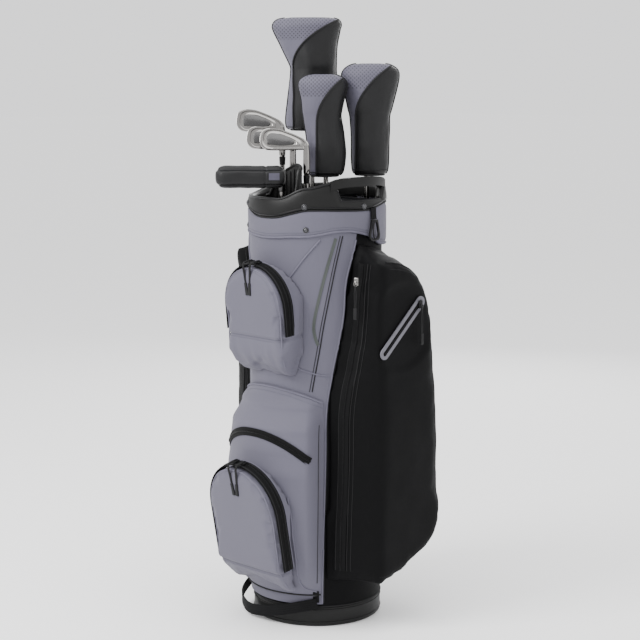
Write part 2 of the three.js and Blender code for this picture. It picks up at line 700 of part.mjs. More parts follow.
// ---------------------------------------------------------------- assembly
add(bag, 'base_cup', baseCup(), MATERIALS.rubber);
add(bag, 'liner_tube', linerTube(), MATERIALS.lining);
add(bag, 'body_fabric', bodyFabric(), MATERIALS.blackFabric);
add(bag, 'collar_band', collarBand(), MATERIALS.greyFabric);
add(bag, 'throat_ring', throatRing(), MATERIALS.rubber);
add(bag, 'side_handle', sideHandle(), MATERIALS.rubber);
add(bag, 'putter_well', putterWell(), MATERIALS.rubber);
dividerWalls();

add(bag, 'front_panel', frontPanel(), MATERIALS.greyFabric);
add(bag, 'mid_pocket', midPocket(), MATERIALS.greyFabric);
const bodyCutter = rod(PANEL.outer + GAP, 0, 900, 48);
add(bag, 'upper_pocket', cut(archedPocket(UPPER_POCKET), bodyCutter), MATERIALS.greyFabric);
add(bag, 'ball_pocket', cut(archedPocket(BALL_POCKET), bodyCutter, midPocket(GAP)), MATERIALS.greyFabric);
add(bag, 'upper_zip', cut(archedZip(UPPER_POCKET), bodyCutter), MATERIALS.zip);
add(bag, 'ball_zip', cut(archedZip(BALL_POCKET), midPocket(GAP)), MATERIALS.zip);
add(bag, 'mid_zip', midZip(), MATERIALS.zip);
for (const [side, turn] of [['left', -6.5], ['right', 6.5]]) {
  add(bag, `upper_slider_${side}`, archedSlider(UPPER_POCKET, turn), MATERIALS.zip);
  add(bag, `ball_slider_${side}`, archedSlider(BALL_POCKET, turn), MATERIALS.zip);
}

add(bag, 'side_pocket_right', sidePocket(), MATERIALS.blackFabric);
add(bag, 'side_pocket_left', sidePocket(mirrored), MATERIALS.blackFabric);
add(bag, 'side_zip_right', sideZip(), MATERIALS.zip);
add(bag, 'side_slider_right', sideSlider(), MATERIALS.chrome);
add(bag, 'slant_zip_frame', slantFrame(), MATERIALS.greyTrim);
add(bag, 'slant_slider', slantSlider(), MATERIALS.zip);
add(bag, 'spine_panel', spinePanel(), MATERIALS.blackFabric);
add(bag, 'base_strap', baseStrap(), MATERIALS.webbing);
add(bag, 'towel_strap', towelStrap(), MATERIALS.webbing);
add(bag, 'towel_ring', towelRing(), MATERIALS.webbing);
clubSet();

export default bag;
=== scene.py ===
"""The look of a golf cart bag with its clubs and head covers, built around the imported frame."""
import json
import math

import bpy
from mathutils import Matrix, Vector, noise
from mathutils.bvhtree import BVHTree


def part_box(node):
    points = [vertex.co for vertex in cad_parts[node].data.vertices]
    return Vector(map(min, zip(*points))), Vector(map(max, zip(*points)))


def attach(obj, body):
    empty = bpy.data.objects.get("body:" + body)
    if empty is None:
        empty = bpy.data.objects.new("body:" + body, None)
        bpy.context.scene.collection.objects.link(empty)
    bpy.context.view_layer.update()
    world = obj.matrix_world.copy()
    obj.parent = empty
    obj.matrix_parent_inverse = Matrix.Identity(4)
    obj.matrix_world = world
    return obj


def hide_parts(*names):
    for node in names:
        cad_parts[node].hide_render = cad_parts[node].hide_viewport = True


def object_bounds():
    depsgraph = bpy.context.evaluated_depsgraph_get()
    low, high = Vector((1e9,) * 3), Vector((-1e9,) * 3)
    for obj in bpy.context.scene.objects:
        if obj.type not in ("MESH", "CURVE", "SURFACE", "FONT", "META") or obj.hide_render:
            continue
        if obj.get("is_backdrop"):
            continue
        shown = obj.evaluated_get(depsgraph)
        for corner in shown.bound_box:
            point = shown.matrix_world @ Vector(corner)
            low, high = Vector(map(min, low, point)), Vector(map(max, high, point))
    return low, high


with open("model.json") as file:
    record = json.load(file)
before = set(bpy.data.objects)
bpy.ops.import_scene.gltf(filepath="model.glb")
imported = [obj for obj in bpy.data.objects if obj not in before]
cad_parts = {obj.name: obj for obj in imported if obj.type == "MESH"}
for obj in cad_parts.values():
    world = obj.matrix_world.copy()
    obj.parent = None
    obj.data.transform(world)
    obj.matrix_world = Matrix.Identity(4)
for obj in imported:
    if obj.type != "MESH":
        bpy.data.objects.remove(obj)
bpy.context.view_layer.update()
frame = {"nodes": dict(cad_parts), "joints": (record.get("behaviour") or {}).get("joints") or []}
NODES = frame["nodes"]
JOINTS = {joint["name"]: joint for joint in frame["joints"]}
MM = 0.001
FLOOR_SIZE = 70
FLOOR_DROP = 0.0005


# ---------------------------------------------------------------- camera, floor and light
def look_at(thing, target):
    thing.rotation_euler = (Vector(target) - thing.location).to_track_quat("-Z", "Y").to_euler()


def make_camera():
    data = bpy.data.cameras.new("camera")
    data.sensor_width = 36
    data.lens = 93.1
    camera = bpy.data.objects.new("camera", data)
    camera.location = (2.302, -2.223, 1.05)
    look_at(camera, (0.004, 0.0042, 0.58))
    bpy.context.scene.collection.objects.link(camera)
    bpy.context.scene.camera = camera


def soft_light(name, place, target, size, watts):
    data = bpy.data.lights.new(name, "AREA")
    data.shape = "RECTANGLE"
    data.size, data.size_y = size
    data.energy = watts
    light = bpy.data.objects.new(name, data)
    light.location = place
    look_at(light, target)
    bpy.context.scene.collection.objects.link(light)


def make_studio():
    floor_paint = bpy.data.materials.new("studio_white")
    floor_paint.use_nodes = True
    shader = floor_paint.node_tree.nodes["Principled BSDF"]
    shader.inputs["Base Color"].default_value = (0.93, 0.93, 0.93, 1)
    shader.inputs["Roughness"].default_value = 0.95
    shader.inputs["Emission Color"].default_value = (1, 1, 1, 1)
    shader.inputs["Emission Strength"].default_value = 0.11
    bpy.ops.mesh.primitive_plane_add(size=FLOOR_SIZE, location=(0, 0, -FLOOR_DROP))
    floor = bpy.context.object
    floor.name = "studio_floor"
    floor.data.materials.append(floor_paint)
    floor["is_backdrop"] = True
    world = bpy.data.worlds.new("studio")
    world.use_nodes = True
    background = world.node_tree.nodes["Background"]
    background.inputs["Color"].default_value = (0.95, 0.95, 0.96, 1)
    background.inputs["Strength"].default_value = 1.5
    bpy.context.scene.world = world
    soft_light("key", (-0.6, -2.3, 2.5), (0, 0, 0.8), (1.3, 1.3), 92)
    soft_light("top", (0.4, -0.4, 3.0), (0, 0, 0.6), (2.0, 2.0), 44)
    soft_light("side", (2.8, 0.7, 1.3), (0, 0, 0.6), (0.9, 1.8), 8)
    soft_light("rim", (-1.6, 2.4, 1.6), (0, 0, 0.8), (1.2, 1.6), 26)


make_camera()
make_studio()


# ---------------------------------------------------------------- finishes
class Amount:
    """A shader value that can be added, multiplied and compared as a number is."""

    def __init__(self, finish, socket):
        self.finish = finish
        self.socket = socket

    def maths(self, operation, *terms):
        return self.finish.node("ShaderNodeMath", {"operation": operation}, dict(enumerate(terms)))

    def __add__(self, other):
        return self.maths("ADD", self, other)

    def __sub__(self, other):
        return self.maths("SUBTRACT", self, other)

    def __rsub__(self, other):
        return self.maths("SUBTRACT", other, self)

    def __mul__(self, other):
        return self.maths("MULTIPLY", self, other)

    def __pow__(self, other):
        return self.maths("POWER", self, other)

    def __gt__(self, other):
        return self.maths("GREATER_THAN", self, other)

    def __lt__(self, other):
        return self.maths("LESS_THAN", self, other)

    def __abs__(self):
        return self.maths("ABSOLUTE", self)

    __radd__ = __add__
    __rmul__ = __mul__

    def sine(self):
        return self.maths("SINE", self)

    def most(self, other):
        return self.maths("MAXIMUM", self, other)

    def kept_within(self):
        return self.finish.node("ShaderNodeClamp", {}, {"Value": self})


class Finish:
    """One procedural finish: a Principled shader, with the piece's own place at hand as x, y and z."""

    def __init__(self, name, colour, roughness, metallic=0.0, fixed=None):
        self.material = bpy.data.materials.new(name)
        self.material.use_nodes = True
        self.material.diffuse_color = (*colour, 1)
        self.tree = self.material.node_tree
        self.shader = self.tree.nodes["Principled BSDF"]
        self.set("Base Color", (*colour, 1))
        self.set("Roughness", roughness)
        self.set("Metallic", metallic)
        for socket, value in (fixed or {}).items():
            self.set(socket, value)
        self.place = self.node("ShaderNodeTexCoord", {}, {}, "Object")
        split = self.node("ShaderNodeSeparateXYZ", {}, {"Vector": self.place}, "X")
        self.x, self.y, self.z = (Amount(self, split.socket.node.outputs[way]) for way in "XYZ")

    def node(self, kind, settings, sockets, out=0):
        made = self.tree.nodes.new(kind)
        for key, value in settings.items():
            setattr(made, key, value)
        for key, value in sockets.items():
            if isinstance(value, Amount):
                self.tree.links.new(value.socket, made.inputs[key])
            else:
                made.inputs[key].default_value = value
        return Amount(self, made.outputs[out])

    def set(self, socket, value):
        if isinstance(value, Amount):
            self.tree.links.new(value.socket, self.shader.inputs[socket])
        else:
            self.shader.inputs[socket].default_value = value

    def grain(self, scale, detail=2.0, roughness=0.5, place=None):
        sockets = {"Vector": place or self.place, "Scale": scale, "Detail": detail, "Roughness": roughness}
        return self.node("ShaderNodeTexNoise", {}, sockets, "Fac")

    def stretched(self, x, y, z):
        """The piece's place with each way scaled, for a pattern drawn out along one of them."""
        return self.node("ShaderNodeMapping", {}, {"Vector": self.place, "Scale": (x, y, z)}, "Vector")

    def weave(self, pitch):
        """Crossing threads, from 0 to 1, on a surface that faces any way."""
        turn = 2 * math.pi / pitch
        rows = (self.z * turn).sine()
        return ((self.x * turn).sine() * rows + (self.y * turn).sine() * rows) * 0.25 + 0.5

    def along(self):
        """The piece's own two ways in metres: along it and across it."""
        uv = self.node("ShaderNodeUVMap", {"uv_map": "UVMap"}, {}, "UV")
        split = self.node("ShaderNodeSeparateXYZ", {}, {"Vector": uv}, "X")
        return split, Amount(self, split.socket.node.outputs["Y"])

    def blend(self, share, first, second):
        sockets = {"Factor": share}
        mixed = self.node("ShaderNodeMix", {"data_type": "RGBA"}, sockets, 2)
        for socket, value in zip(mixed.socket.node.inputs[6:8], (first, second)):
            if isinstance(value, Amount):
                self.tree.links.new(value.socket, socket)
            else:
                socket.default_value = (*value, 1)
        return mixed

    def bump(self, height, depth, strength=1.0):
        sockets = {"Height": height, "Distance": depth, "Strength": strength}
        normal = self.node("ShaderNodeBump", {}, sockets, "Normal")
        self.set("Normal", normal)


def shade(colour, by):
    return tuple(channel * by for channel in colour)


GREY = (0.094, 0.090, 0.120)
BLACK = (0.0014, 0.0014, 0.0017)


def cloth_finish(name, colour, pitch, roughness, sheen, variation, gloss=0.3):
    """Coated oxford cloth: crossing threads, a soft mottle from wear and a little fuzz."""
    finish = Finish(name, colour, roughness, fixed={"Sheen Weight": sheen, "Sheen Roughness": 0.5,
                                                    "Specular IOR Level": gloss})
    threads = finish.weave(pitch)
    mottle = finish.grain(9, 4, 0.6)
    slubs = finish.grain(260, 1, 0.4, finish.stretched(1, 1, 0.25))
    tone = (threads * 0.5 + mottle * 0.9 + slubs * 0.5) * 0.55
    darker, paler = shade(colour, 1 - variation), shade(colour, 1 + variation)
    finish.set("Base Color", finish.blend(tone.kept_within(), darker, paler))
    finish.set("Roughness", mottle * 0.16 + (roughness - 0.08))
    folds = finish.grain(14, 3, 0.5)
    finish.bump(threads * 0.22 + slubs * 0.1 + folds * 2.2, 0.0009, 0.75)
    return finish


def skin_finish(name, colour, roughness):
    """Soft grained cover skin, a little shiny where it is stretched."""
    finish = Finish(name, colour, roughness, fixed={"Coat Roughness": 0.35, "Specular IOR Level": 0.22})
    pores = finish.node("ShaderNodeTexVoronoi", {"feature": "DISTANCE_TO_EDGE"},
                        {"Vector": finish.place, "Scale": 620.0}, "Distance")
    mottle = finish.grain(22, 3)
    tone = (mottle * 1.2 - 0.1).kept_within()
    finish.set("Base Color", finish.blend(tone, shade(colour, 0.85), shade(colour, 1.18)))
    finish.set("Roughness", mottle * 0.2 + (roughness - 0.1))
    finish.bump(pores * 0.5 + finish.grain(30, 3) * 2.4, 0.0012, 0.7)
    return finish


def moulded_finish(name, colour, roughness, grain_depth=0.0003):
    """Satin moulded plastic or rubber with a fine spark-eroded grain and faint scuffs."""
    finish = Finish(name, colour, roughness, fixed={"Specular IOR Level": 0.2})
    grain = finish.grain(900, 2)
    scuffs = finish.grain(35, 5, 0.7, finish.stretched(1, 1, 4))
    worn = (scuffs * 1.4 - 0.2).kept_within()
    finish.set("Base Color", finish.blend(worn, shade(colour, 0.85), shade(colour, 1.25)))
    finish.set("Roughness", scuffs * 0.3 + (roughness - 0.14))
    finish.bump(grain * 0.6 + scuffs * 0.4, grain_depth, 0.6)
    return finish


def metal_finish(name, colour, roughness, brushed):
    """Plated steel: polished with faint smears, or brushed across the blade."""
    finish = Finish(name, colour, roughness, 1.0)
    smears = finish.grain(45, 4, 0.6)
    if brushed:
        lines = finish.grain(60, 3, 0.7, finish.stretched(3, 3, 60))
        finish.set("Roughness", lines * 0.22 + (roughness - 0.08))
        finish.bump(lines, 0.00012, 0.5)
    else:
        finish.set("Roughness", smears * 0.1 + roughness)
        finish.bump(smears, 0.00015, 0.3)
    finish.set("Base Color", finish.blend((smears * 1.2 - 0.1).kept_within(), shade(colour, 0.9), colour))
    return finish


def tape_finish(name, colour, rib, depth, roughness=0.75):
    """Woven strap or zip tape, ribbed across its length."""
    finish = Finish(name, colour, roughness, fixed={"Specular IOR Level": 0.1})
    along, across = finish.along()
    turn = 2 * math.pi / rib
    ribs = (along * turn).sine() * 0.5 + (across * (turn * 0.5)).sine() * 0.5
    wear = finish.grain(30, 3)
    tone = (ribs * 0.3 + wear * 0.8).kept_within()
    finish.set("Base Color", finish.blend(tone, shade(colour, 0.7), shade(colour, 1.35)))
    finish.set("Roughness", wear * 0.2 + (roughness - 0.1))
    finish.bump(ribs * 0.5 + 0.5, depth, 0.8)
    return finish


def cord_finish(name, colour, roughness=0.65):
    """Braided cord and piping, with slanting plaits."""
    finish = Finish(name, colour, roughness, fixed={"Specular IOR Level": 0.3})
    plait = ((finish.x + finish.y * 1.1 + finish.z * 1.3) * 3600).sine() * 0.5
    wear = finish.grain(40, 2)
    finish.set("Base Color", finish.blend((plait * 0.4 + wear).kept_within(), shade(colour, 0.8), shade(colour, 1.2)))
    finish.set("Roughness", wear * 0.15 + roughness)
    finish.bump(plait + 0.5, 0.0002, 0.5)
    return finish


LOOKS = {
    "grey_cloth": cloth_finish("grey_cloth", GREY, 0.0011, 0.7, 0.06, 0.07),
    "black_cloth": cloth_finish("black_cloth", BLACK, 0.0013, 0.62, 0.0, 0.25, 0.09),
    "lining": cloth_finish("lining", (0.006, 0.006, 0.007), 0.0015, 0.9, 0.0, 0.2, 0.1),
    "skin_black": skin_finish("skin_black", (0.0075, 0.0075, 0.008), 0.46),
    "skin_grey": skin_finish("skin_grey", shade(GREY, 0.92), 0.6),
    "rubber": moulded_finish("satin_rubber", (0.0055, 0.0055, 0.0054), 0.42),
    "dark_plastic": moulded_finish("dark_plastic", (0.004, 0.004, 0.0045), 0.36, 0.0002),
    "grey_trim": moulded_finish("grey_trim", (0.115, 0.112, 0.13), 0.55),
    # The polished and brushed plates are given dark colours as painted dark reflection, since the even white studio
    # would show bright metal near white.
    "polished": metal_finish("polished_plate", (0.24, 0.232, 0.224), 0.1, False),
    "brushed": metal_finish("brushed_plate", (0.075, 0.074, 0.074), 0.24, True),
    "gunmetal": metal_finish("gunmetal", (0.09, 0.09, 0.095), 0.24, False),
    "head_paint": moulded_finish("head_paint", (0.03, 0.03, 0.036), 0.25, 0.0001),
    "webbing": tape_finish("webbing", (0.005, 0.005, 0.0055), 0.0021, 0.0004),
    "tape": tape_finish("zip_tape", (0.0035, 0.0035, 0.0038), 0.0012, 0.0002, 0.7),
    "teeth": tape_finish("zip_teeth", (0.007, 0.007, 0.0075), 0.0013, 0.0006, 0.45),
    "grey_tape": tape_finish("grey_tape", shade(GREY, 0.82), 0.0012, 0.0003),
    "sage_tape": tape_finish("sage_tape", (0.066, 0.073, 0.069), 0.0016, 0.0004),
    "pale_tape": tape_finish("pale_tape", (0.5, 0.5, 0.5), 0.0012, 0.0002),
    "black_cord": cord_finish("black_cord", (0.005, 0.005, 0.0055)),
    "grey_piping": cord_finish("grey_piping", shade(GREY, 1.1)),
    "dark_piping": cord_finish("dark_piping", (0.0045, 0.0045, 0.005)),
    "thread": cord_finish("thread", shade(GREY, 0.75)),
    "dark_thread": cord_finish("dark_thread", (0.014, 0.014, 0.016)),
    "grip": moulded_finish("grip_rubber", (0.005, 0.005, 0.005), 0.8, 0.0005),
}


# ---------------------------------------------------------------- making pieces
def only(*things):
    bpy.ops.object.select_all(action="DESELECT")
    for thing in things:
        thing.select_set(True)
    bpy.context.view_layer.objects.active = things[0]


def apply(thing, kind, **settings):
    """Adds one modifier and applies it."""
    only(thing)
    modifier = thing.modifiers.new(kind.lower(), kind)
    for key, value in settings.items():
        setattr(modifier, key, value)
    bpy.ops.object.modifier_apply(modifier=modifier.name)


def piece(thing, name, body, look, slot, *nodes, angle=40):
    """Names a finished piece, gives it its finish, sets it to ride on its body and hides the CAD nodes it stands for.
    """
    thing.name = name
    thing.data.name = name
    thing.data.materials.clear()
    thing.data.materials.append(LOOKS[look].material)
    only(thing)
    bpy.ops.object.shade_smooth_by_angle(angle=math.radians(angle))
    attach(thing, body)
    if nodes:
        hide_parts(*nodes)
    return thing


def cad_copy(*nodes):
    """One new object with the merged meshes of CAD nodes."""
    copies = []
    for node in nodes:
        copy = bpy.data.objects.new("copy", NODES[node].data.copy())
        bpy.context.scene.collection.objects.link(copy)
        copies.append(copy)
    only(*copies)
    if len(copies) > 1:
        bpy.ops.object.join()
    thing = bpy.context.object
    bpy.ops.object.mode_set(mode="EDIT")
    bpy.ops.mesh.select_all(action="SELECT")
    bpy.ops.mesh.remove_doubles(threshold=0.00002)
    bpy.ops.mesh.customdata_custom_splitnormals_clear()
    bpy.ops.object.mode_set(mode="OBJECT")
    return thing


def fine_copy(name, body, look, slot, *nodes, edge=0.001, angle=40, bevels=2):
    """A CAD body with its edges broken and its faces smoothed."""
    thing = cad_copy(*nodes)
    apply(thing, "BEVEL", width=edge, segments=bevels, limit_method="ANGLE", angle_limit=math.radians(38))
    return piece(thing, name, body, look, slot, *nodes, angle=angle)


def placed_copy(source, matrix):
    """A copy with its own mesh, carried to its place."""
    copy = bpy.data.objects.new(source.name, source.data.copy())
    copy.data.transform(matrix)
    bpy.context.scene.collection.objects.link(copy)
    return copy


def joined(*things):
    only(*things)
    bpy.ops.object.join()
    return bpy.context.object


def smooth_route(points, gap):
    """Evenly spaced points on a smooth curve through the given ones."""
    points = [Vector(p) for p in points]
    ends = [2 * points[0] - points[1], *points, 2 * points[-1] - points[-2]]
    fine = []
    for a, b, c, d in zip(ends, ends[1:], ends[2:], ends[3:]):
        for step in range(24):
            t = step / 24
            fine.append(0.5 * (2 * b + (c - a) * t + (2 * a - 5 * b + 4 * c - d) * t ** 2
                               + (3 * b - a - 3 * c + d) * t ** 3))
    fine.append(points[-1])
    length = sum((q - p).length for p, q in zip(fine, fine[1:]))
    count = max(2, round(length / gap))
    even, run, wanted = [fine[0]], 0.0, length / count
    for p, q in zip(fine, fine[1:]):
        part = (q - p).length
        while part and run + part >= wanted - 1e-9 and len(even) < count:
            even.append(p.lerp(q, (wanted - run) / part))
            wanted += length / count
        run += part
    return [*even, fine[-1]]


def tangents(route):
    ahead = [*route[1:], 2 * route[-1] - route[-2]]
    behind = [2 * route[0] - route[1], *route[:-1]]
    return [(q - p).normalized() for p, q in zip(behind, ahead)]


def tube(route, radius, closed=False, corners=2):
    """A round cord, piping or seam along a route, as a mesh."""
    data = bpy.data.curves.new("cord", "CURVE")
    data.dimensions = "3D"
    spline = data.splines.new("POLY")
    spline.points.add(len(route) - 1)
    for point, place in zip(spline.points, route):
        point.co = (*place, 1)
    spline.use_cyclic_u = closed
    data.bevel_depth = radius
    data.bevel_resolution = corners
    data.use_fill_caps = not closed
    thing = bpy.data.objects.new("cord", data)
    bpy.context.scene.collection.objects.link(thing)
    only(thing)
    bpy.ops.object.convert(target="MESH")
    return bpy.context.object


def shaped_grid(columns, rows, place, size=(1.0, 1.0), around=False):
    """A grid whose points are carried by place(across, up), each from 0 to 1. Its UV map is in metres."""
    bpy.ops.mesh.primitive_grid_add(x_subdivisions=columns, y_subdivisions=rows, size=1)
    thing = bpy.context.object
    for vertex in thing.data.vertices:
        across, up = round((vertex.co.x + 0.5) * columns) / columns, round((vertex.co.y + 0.5) * rows) / rows
        vertex.co = place(across, up)
    for corner in thing.data.uv_layers[0].data:
        corner.uv = (corner.uv[0] * size[0], corner.uv[1] * size[1])
    if around:
        only(thing)
        bpy.ops.object.mode_set(mode="EDIT")
        bpy.ops.mesh.select_all(action="SELECT")
        bpy.ops.mesh.remove_doubles(threshold=0.00001)
        bpy.ops.object.mode_set(mode="OBJECT")
    return thing


def strip(route, outward, width, thick, crown=0.0, lift=0.0, rows=4):
    """A flat tape along a route, lying with its face along the outward ways."""
    ways = tangents(route)
    columns = len(route) - 1
    length = sum((q - p).length for p, q in zip(route, route[1:]))

    def place(along, across):
        step = round(along * columns)
        side = outward[step].cross(ways[step]).normalized()
        aside = across - 0.5
        rise = lift + thick + crown * (1 - 4 * aside ** 2)
        return route[step] + side * (aside * width) + outward[step] * rise

    thing = shaped_grid(columns, rows, place, (length, width))
    apply(thing, "SOLIDIFY", thickness=thick, offset=-1)
    return thing


class Skin:
    """The outside of finished pieces, for laying seams, piping and tapes on."""

    def __init__(self, *things):
        points, faces = [], []
        for thing in things:
            start = len(points)
            points += [vertex.co.copy() for vertex in thing.data.vertices]
            faces += [[start + i for i in face.vertices] for face in thing.data.polygons]
        self.tree = BVHTree.FromPolygons(points, faces)

    def press(self, route, outward, lift=0.0, reach=0.06):
        """Carries each point of a route straight in to the skin, then out by lift."""
        laid, normals = [], []
        for point in route:
            way = outward(point)
            hit, normal, _, _ = self.tree.ray_cast(point + way * reach, -way, 2 * reach)
            if hit is None:
                hit, normal, _, _ = self.tree.find_nearest(point - way * (reach * 0.3))
            if normal.dot(way) < 0:
                normal = -normal
            laid.append(hit + normal * lift)
            normals.append(normal)
        return laid, normals


# ---------------------------------------------------------------- the bag's shape
def eased(x, pairs):
    """Reads a value at x from [x, value] pairs, easing between them."""
    if x <= pairs[0][0]:
        return pairs[0][1]
    for (x0, y0), (x1, y1) in zip(pairs, pairs[1:]):
        if x <= x1:
            t = (x - x0) / (x1 - x0)
            return y0 + (y1 - y0) * t * t * (3 - 2 * t)
    return pairs[-1][1]


def polar(bearing, radius, z):
    """A point in millimetres round the bag, bearing from the front towards +X, given in metres."""
    turn = math.radians(bearing)
    return Vector((radius * math.sin(turn), -radius * math.cos(turn), z)) * MM


def radial(point):
    return Vector((point.x, point.y, 0)).normalized()


def collar_low(bearing):
    return eased(abs(bearing), [(0, 750), (35, 754), (68, 764), (84, 759), (116, 733), (180, 728)])


def collar_top(bearing):
    return eased(abs(bearing), [(5, 790), (42, 806), (90, 804), (120, 814), (180, 816)])


def panel_edge(z):
    return eased(z, [(46, 51), (400, 54), (640, 70), (760, 81)])


def mid_bulge(z, bearing):
    rise = eased(z, [(64, 6), (120, 30), (200, 44), (300, 42), (345, 37), (388, 33), (430, 14), (455, 3)])
    return 2 + rise * (1 - eased(abs(bearing), [(38, 0), (52, 1)]))


CLUB_TURN = math.radians(46)
SHAFT_AT = {}
for club in ("driver", "fairway", "hybrid", "long_iron", "mid_iron", "short_iron", "putter"):
    low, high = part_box(club + "_grip")
    SHAFT_AT[club] = Vector(((low.x + high.x) / 2, (low.y + high.y) / 2, 0))


# ---------------------------------------------------------------- padded pieces
PUFF_FRAMES = 20
padded_waiting = []


def soft_start(nodes, voxel, inset, rounding):
    """A CAD body made into an even, slightly smaller shape that cloth can fill out."""
    thing = cad_copy(*nodes)
    apply(thing, "REMESH", mode="VOXEL", voxel_size=voxel)
    apply(thing, "SMOOTH", factor=0.6, iterations=rounding)
    apply(thing, "DISPLACE", strength=-inset, mid_level=0)
    return thing


def puff_later(thing, cap, give):
    """Sets a piece to swell like stuffed cloth; give(point) says how free each point is, from 0 to 1."""
    rest = [vertex.co.copy() for vertex in thing.data.vertices]
    cloth = thing.modifiers.new("puff", "CLOTH")
    cloth.settings.quality = 4
    cloth.settings.mass = 0.3
    cloth.settings.tension_stiffness = 12
    cloth.settings.compression_stiffness = 8
    cloth.settings.bending_stiffness = 0.4
    cloth.settings.use_pressure = True
    cloth.settings.uniform_pressure_force = 4
    cloth.settings.effector_weights.gravity = 0
    cloth.point_cache.frame_start = 1
    cloth.point_cache.frame_end = PUFF_FRAMES
    padded_waiting.append((thing, rest, cap, give))


def puff_all():
    """Runs the waiting cloth together, and keeps each piece within its cap."""
    for step in range(1, PUFF_FRAMES + 1):
        bpy.context.scene.frame_set(step)
    for thing, rest, cap, give in padded_waiting:
        solved = thing.evaluated_get(bpy.context.evaluated_depsgraph_get())
        for vertex, place, moved in zip(thing.data.vertices, rest, solved.data.vertices):
            shift = (moved.co - place) * give(place)
            if shift.length > cap:
                shift = shift.normalized() * cap
            vertex.co = place + shift
        thing.modifiers.remove(thing.modifiers["puff"])
    bpy.context.scene.frame_set(1)


def away_from_bag(low, high):
    """Free outside the bag's skin, and held against it."""
    return lambda point: eased(math.hypot(point.x, point.y), [(low * MM, 0), (high * MM, 1)])


def dented(thing, depth):
    """Moves each point along its normal by depth(point), in metres."""
    thing.data.update()
    shifts = [vertex.normal * depth(vertex.co) for vertex in thing.data.vertices]
    for vertex, shift in zip(thing.data.vertices, shifts):
        vertex.co += shift


def ripple(point, scale, stretch=(1, 1, 1)):
    """Soft cloth undulation about zero."""
    return noise.noise(Vector(p * s * scale for p, s in zip(point, stretch)))


def groove(distance, half, depth):
    """The dip a sewn seam pulls into padding, by the distance from the seam."""
    return -depth * max(0.0, 1 - (distance / half) ** 2) ** 2 if abs(distance) < half else 0.0


class ArchedFace:
    """The leaning face of an arched front pocket: across it, up it from the arch's centre, and out of it."""

    def __init__(self, name, seam, low, tuck_from):
        hinge = JOINTS[name + "_zip_left"]
        self.name = name
        self.centre = Vector(hinge["pos_m"])
        self.out = -Vector(hinge["axis"])
        self.up = Vector((0, self.out.z, -self.out.y))
        low_corner, high_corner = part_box(name + "_pocket")
        self.radius = (high_corner.x - low_corner.x) / 2
        self.seam = seam * MM
        self.low = low * MM
        self.tuck_from = tuck_from * MM

    def at(self, across, up, out=0.0):
        out -= max(0.0, -up - self.tuck_from) * 0.8
        return self.centre + Vector((across, 0, 0)) + self.up * up + self.out * out

    def arch(self, inset, low, steps=56):
        """Across and up pairs: up one side from low, over the arch and down the other."""
        reach = self.radius - inset
        sides = 12

        def narrowed(up):
            return reach - eased(-up, [(self.tuck_from - 0.02, 0), (self.low, 0.012)])
        left = [(-narrowed(low * (1 - i / sides)), low * (1 - i / sides)) for i in range(sides)]
        turns = [math.pi * i / steps for i in range(steps + 1)]
        over = [(-reach * math.cos(turn), reach * math.sin(turn)) for turn in turns]
        right = [(narrowed(low * (i + 1) / sides), low * (i + 1) / sides) for i in range(sides)]
        return [*left, *over, *right]

    def matrix(self, turn=0.0):
        """Carries a piece made on a flat arch (x across, y up, z out) on to this face, turned about its centre."""
        axes = Matrix((Vector((1, 0, 0)), self.up, self.out)).transposed().to_4x4()
        return Matrix.Translation(self.centre) @ axes @ Matrix.Rotation(-turn, 4, "Z")


UPPER = ArchedFace("upper", seam=55, low=136, tuck_from=98)
BALL = ArchedFace("ball", seam=112, low=168, tuck_from=120)


SLANT_ZIP = Vector((0.202, 0.027, 0.584))
SLANT_TURN = 42.5


def off_slant_zip(point):
    """0 beside the slanting zip, whose frame holds the cloth down, and 1 away from it."""
    return eased((point - SLANT_ZIP).length, [(0.07, 0), (0.115, 1)])


def calmed(route, passes):
    """Evens out a route by moving each point towards its neighbours' middle."""
    for _ in range(passes):
        inner = [(p + q * 2 + r) / 4 for p, q, r in zip(route, route[1:], route[2:])]
        route = [route[0], *inner, route[-1]]
    return route


def soft_bag_pieces():
    """The stuffed pockets and the padded spine, shaped together by cloth."""
    made = {}
    for face in (UPPER, BALL):
        thing = soft_start([face.name + "_pocket"], 0.0045, 0.0016, 9)
        puff_later(thing, 0.005, away_from_bag(134, 150))
        made[face.name + "_pocket"] = thing
    for side in ("right", "left"):
        thing = soft_start([f"side_pocket_{side}"], 0.006, 0.0012, 6)
        puff_later(thing, 0.005, lambda point: away_from_bag(136, 152)(point) * off_slant_zip(point))
        made[f"side_pocket_{side}"] = thing
    thing = soft_start(["spine_panel"], 0.0045, 0.001, 5)
    puff_later(thing, 0.004, away_from_bag(130, 136))
    made["spine_panel"] = thing
    puff_all()

    for face in (UPPER, BALL):
        thing = made[face.name + "_pocket"]
        apply(thing, "SUBSURF", levels=1, render_levels=1)

        def pulled(point, face=face):
            up = (point - face.centre).dot(face.up)
            below = eased(-up, [(face.seam, 0), (face.seam + 0.03, 1)])
            puckers = ripple(point, 34, (1.6, 1, 0.35)) * 0.0022 * below
            return groove(up + face.seam, 0.006, 0.0022) + puckers + ripple(point, 16) * 0.0014
        dented(thing, pulled)
        piece(thing, face.name + "_pocket_bag", "bag", "grey_cloth", "grey_fabric", face.name + "_pocket", angle=70)
    for side in ("right", "left"):
        thing = made[f"side_pocket_{side}"]
        apply(thing, "SUBSURF", levels=1, render_levels=1)
        dented(thing, lambda point: (ripple(point, 9, (1, 1, 0.7)) * 0.0022 + ripple(point, 26) * 0.0007)
               * off_slant_zip(point))
        piece(thing, f"side_pocket_{side}_bag", "bag", "black_cloth", "black_fabric", f"side_pocket_{side}", angle=70)
    spine = made["spine_panel"]
    apply(spine, "SUBSURF", levels=1, render_levels=1)
    dented(spine, lambda point: sum(groove(point.z - z * MM, 0.009, 0.004) for z in (180, 300, 420, 540, 660)))
    piece(spine, "spine_pad", "bag", "black_cloth", "black_fabric", "spine_panel", angle=70)
    return made


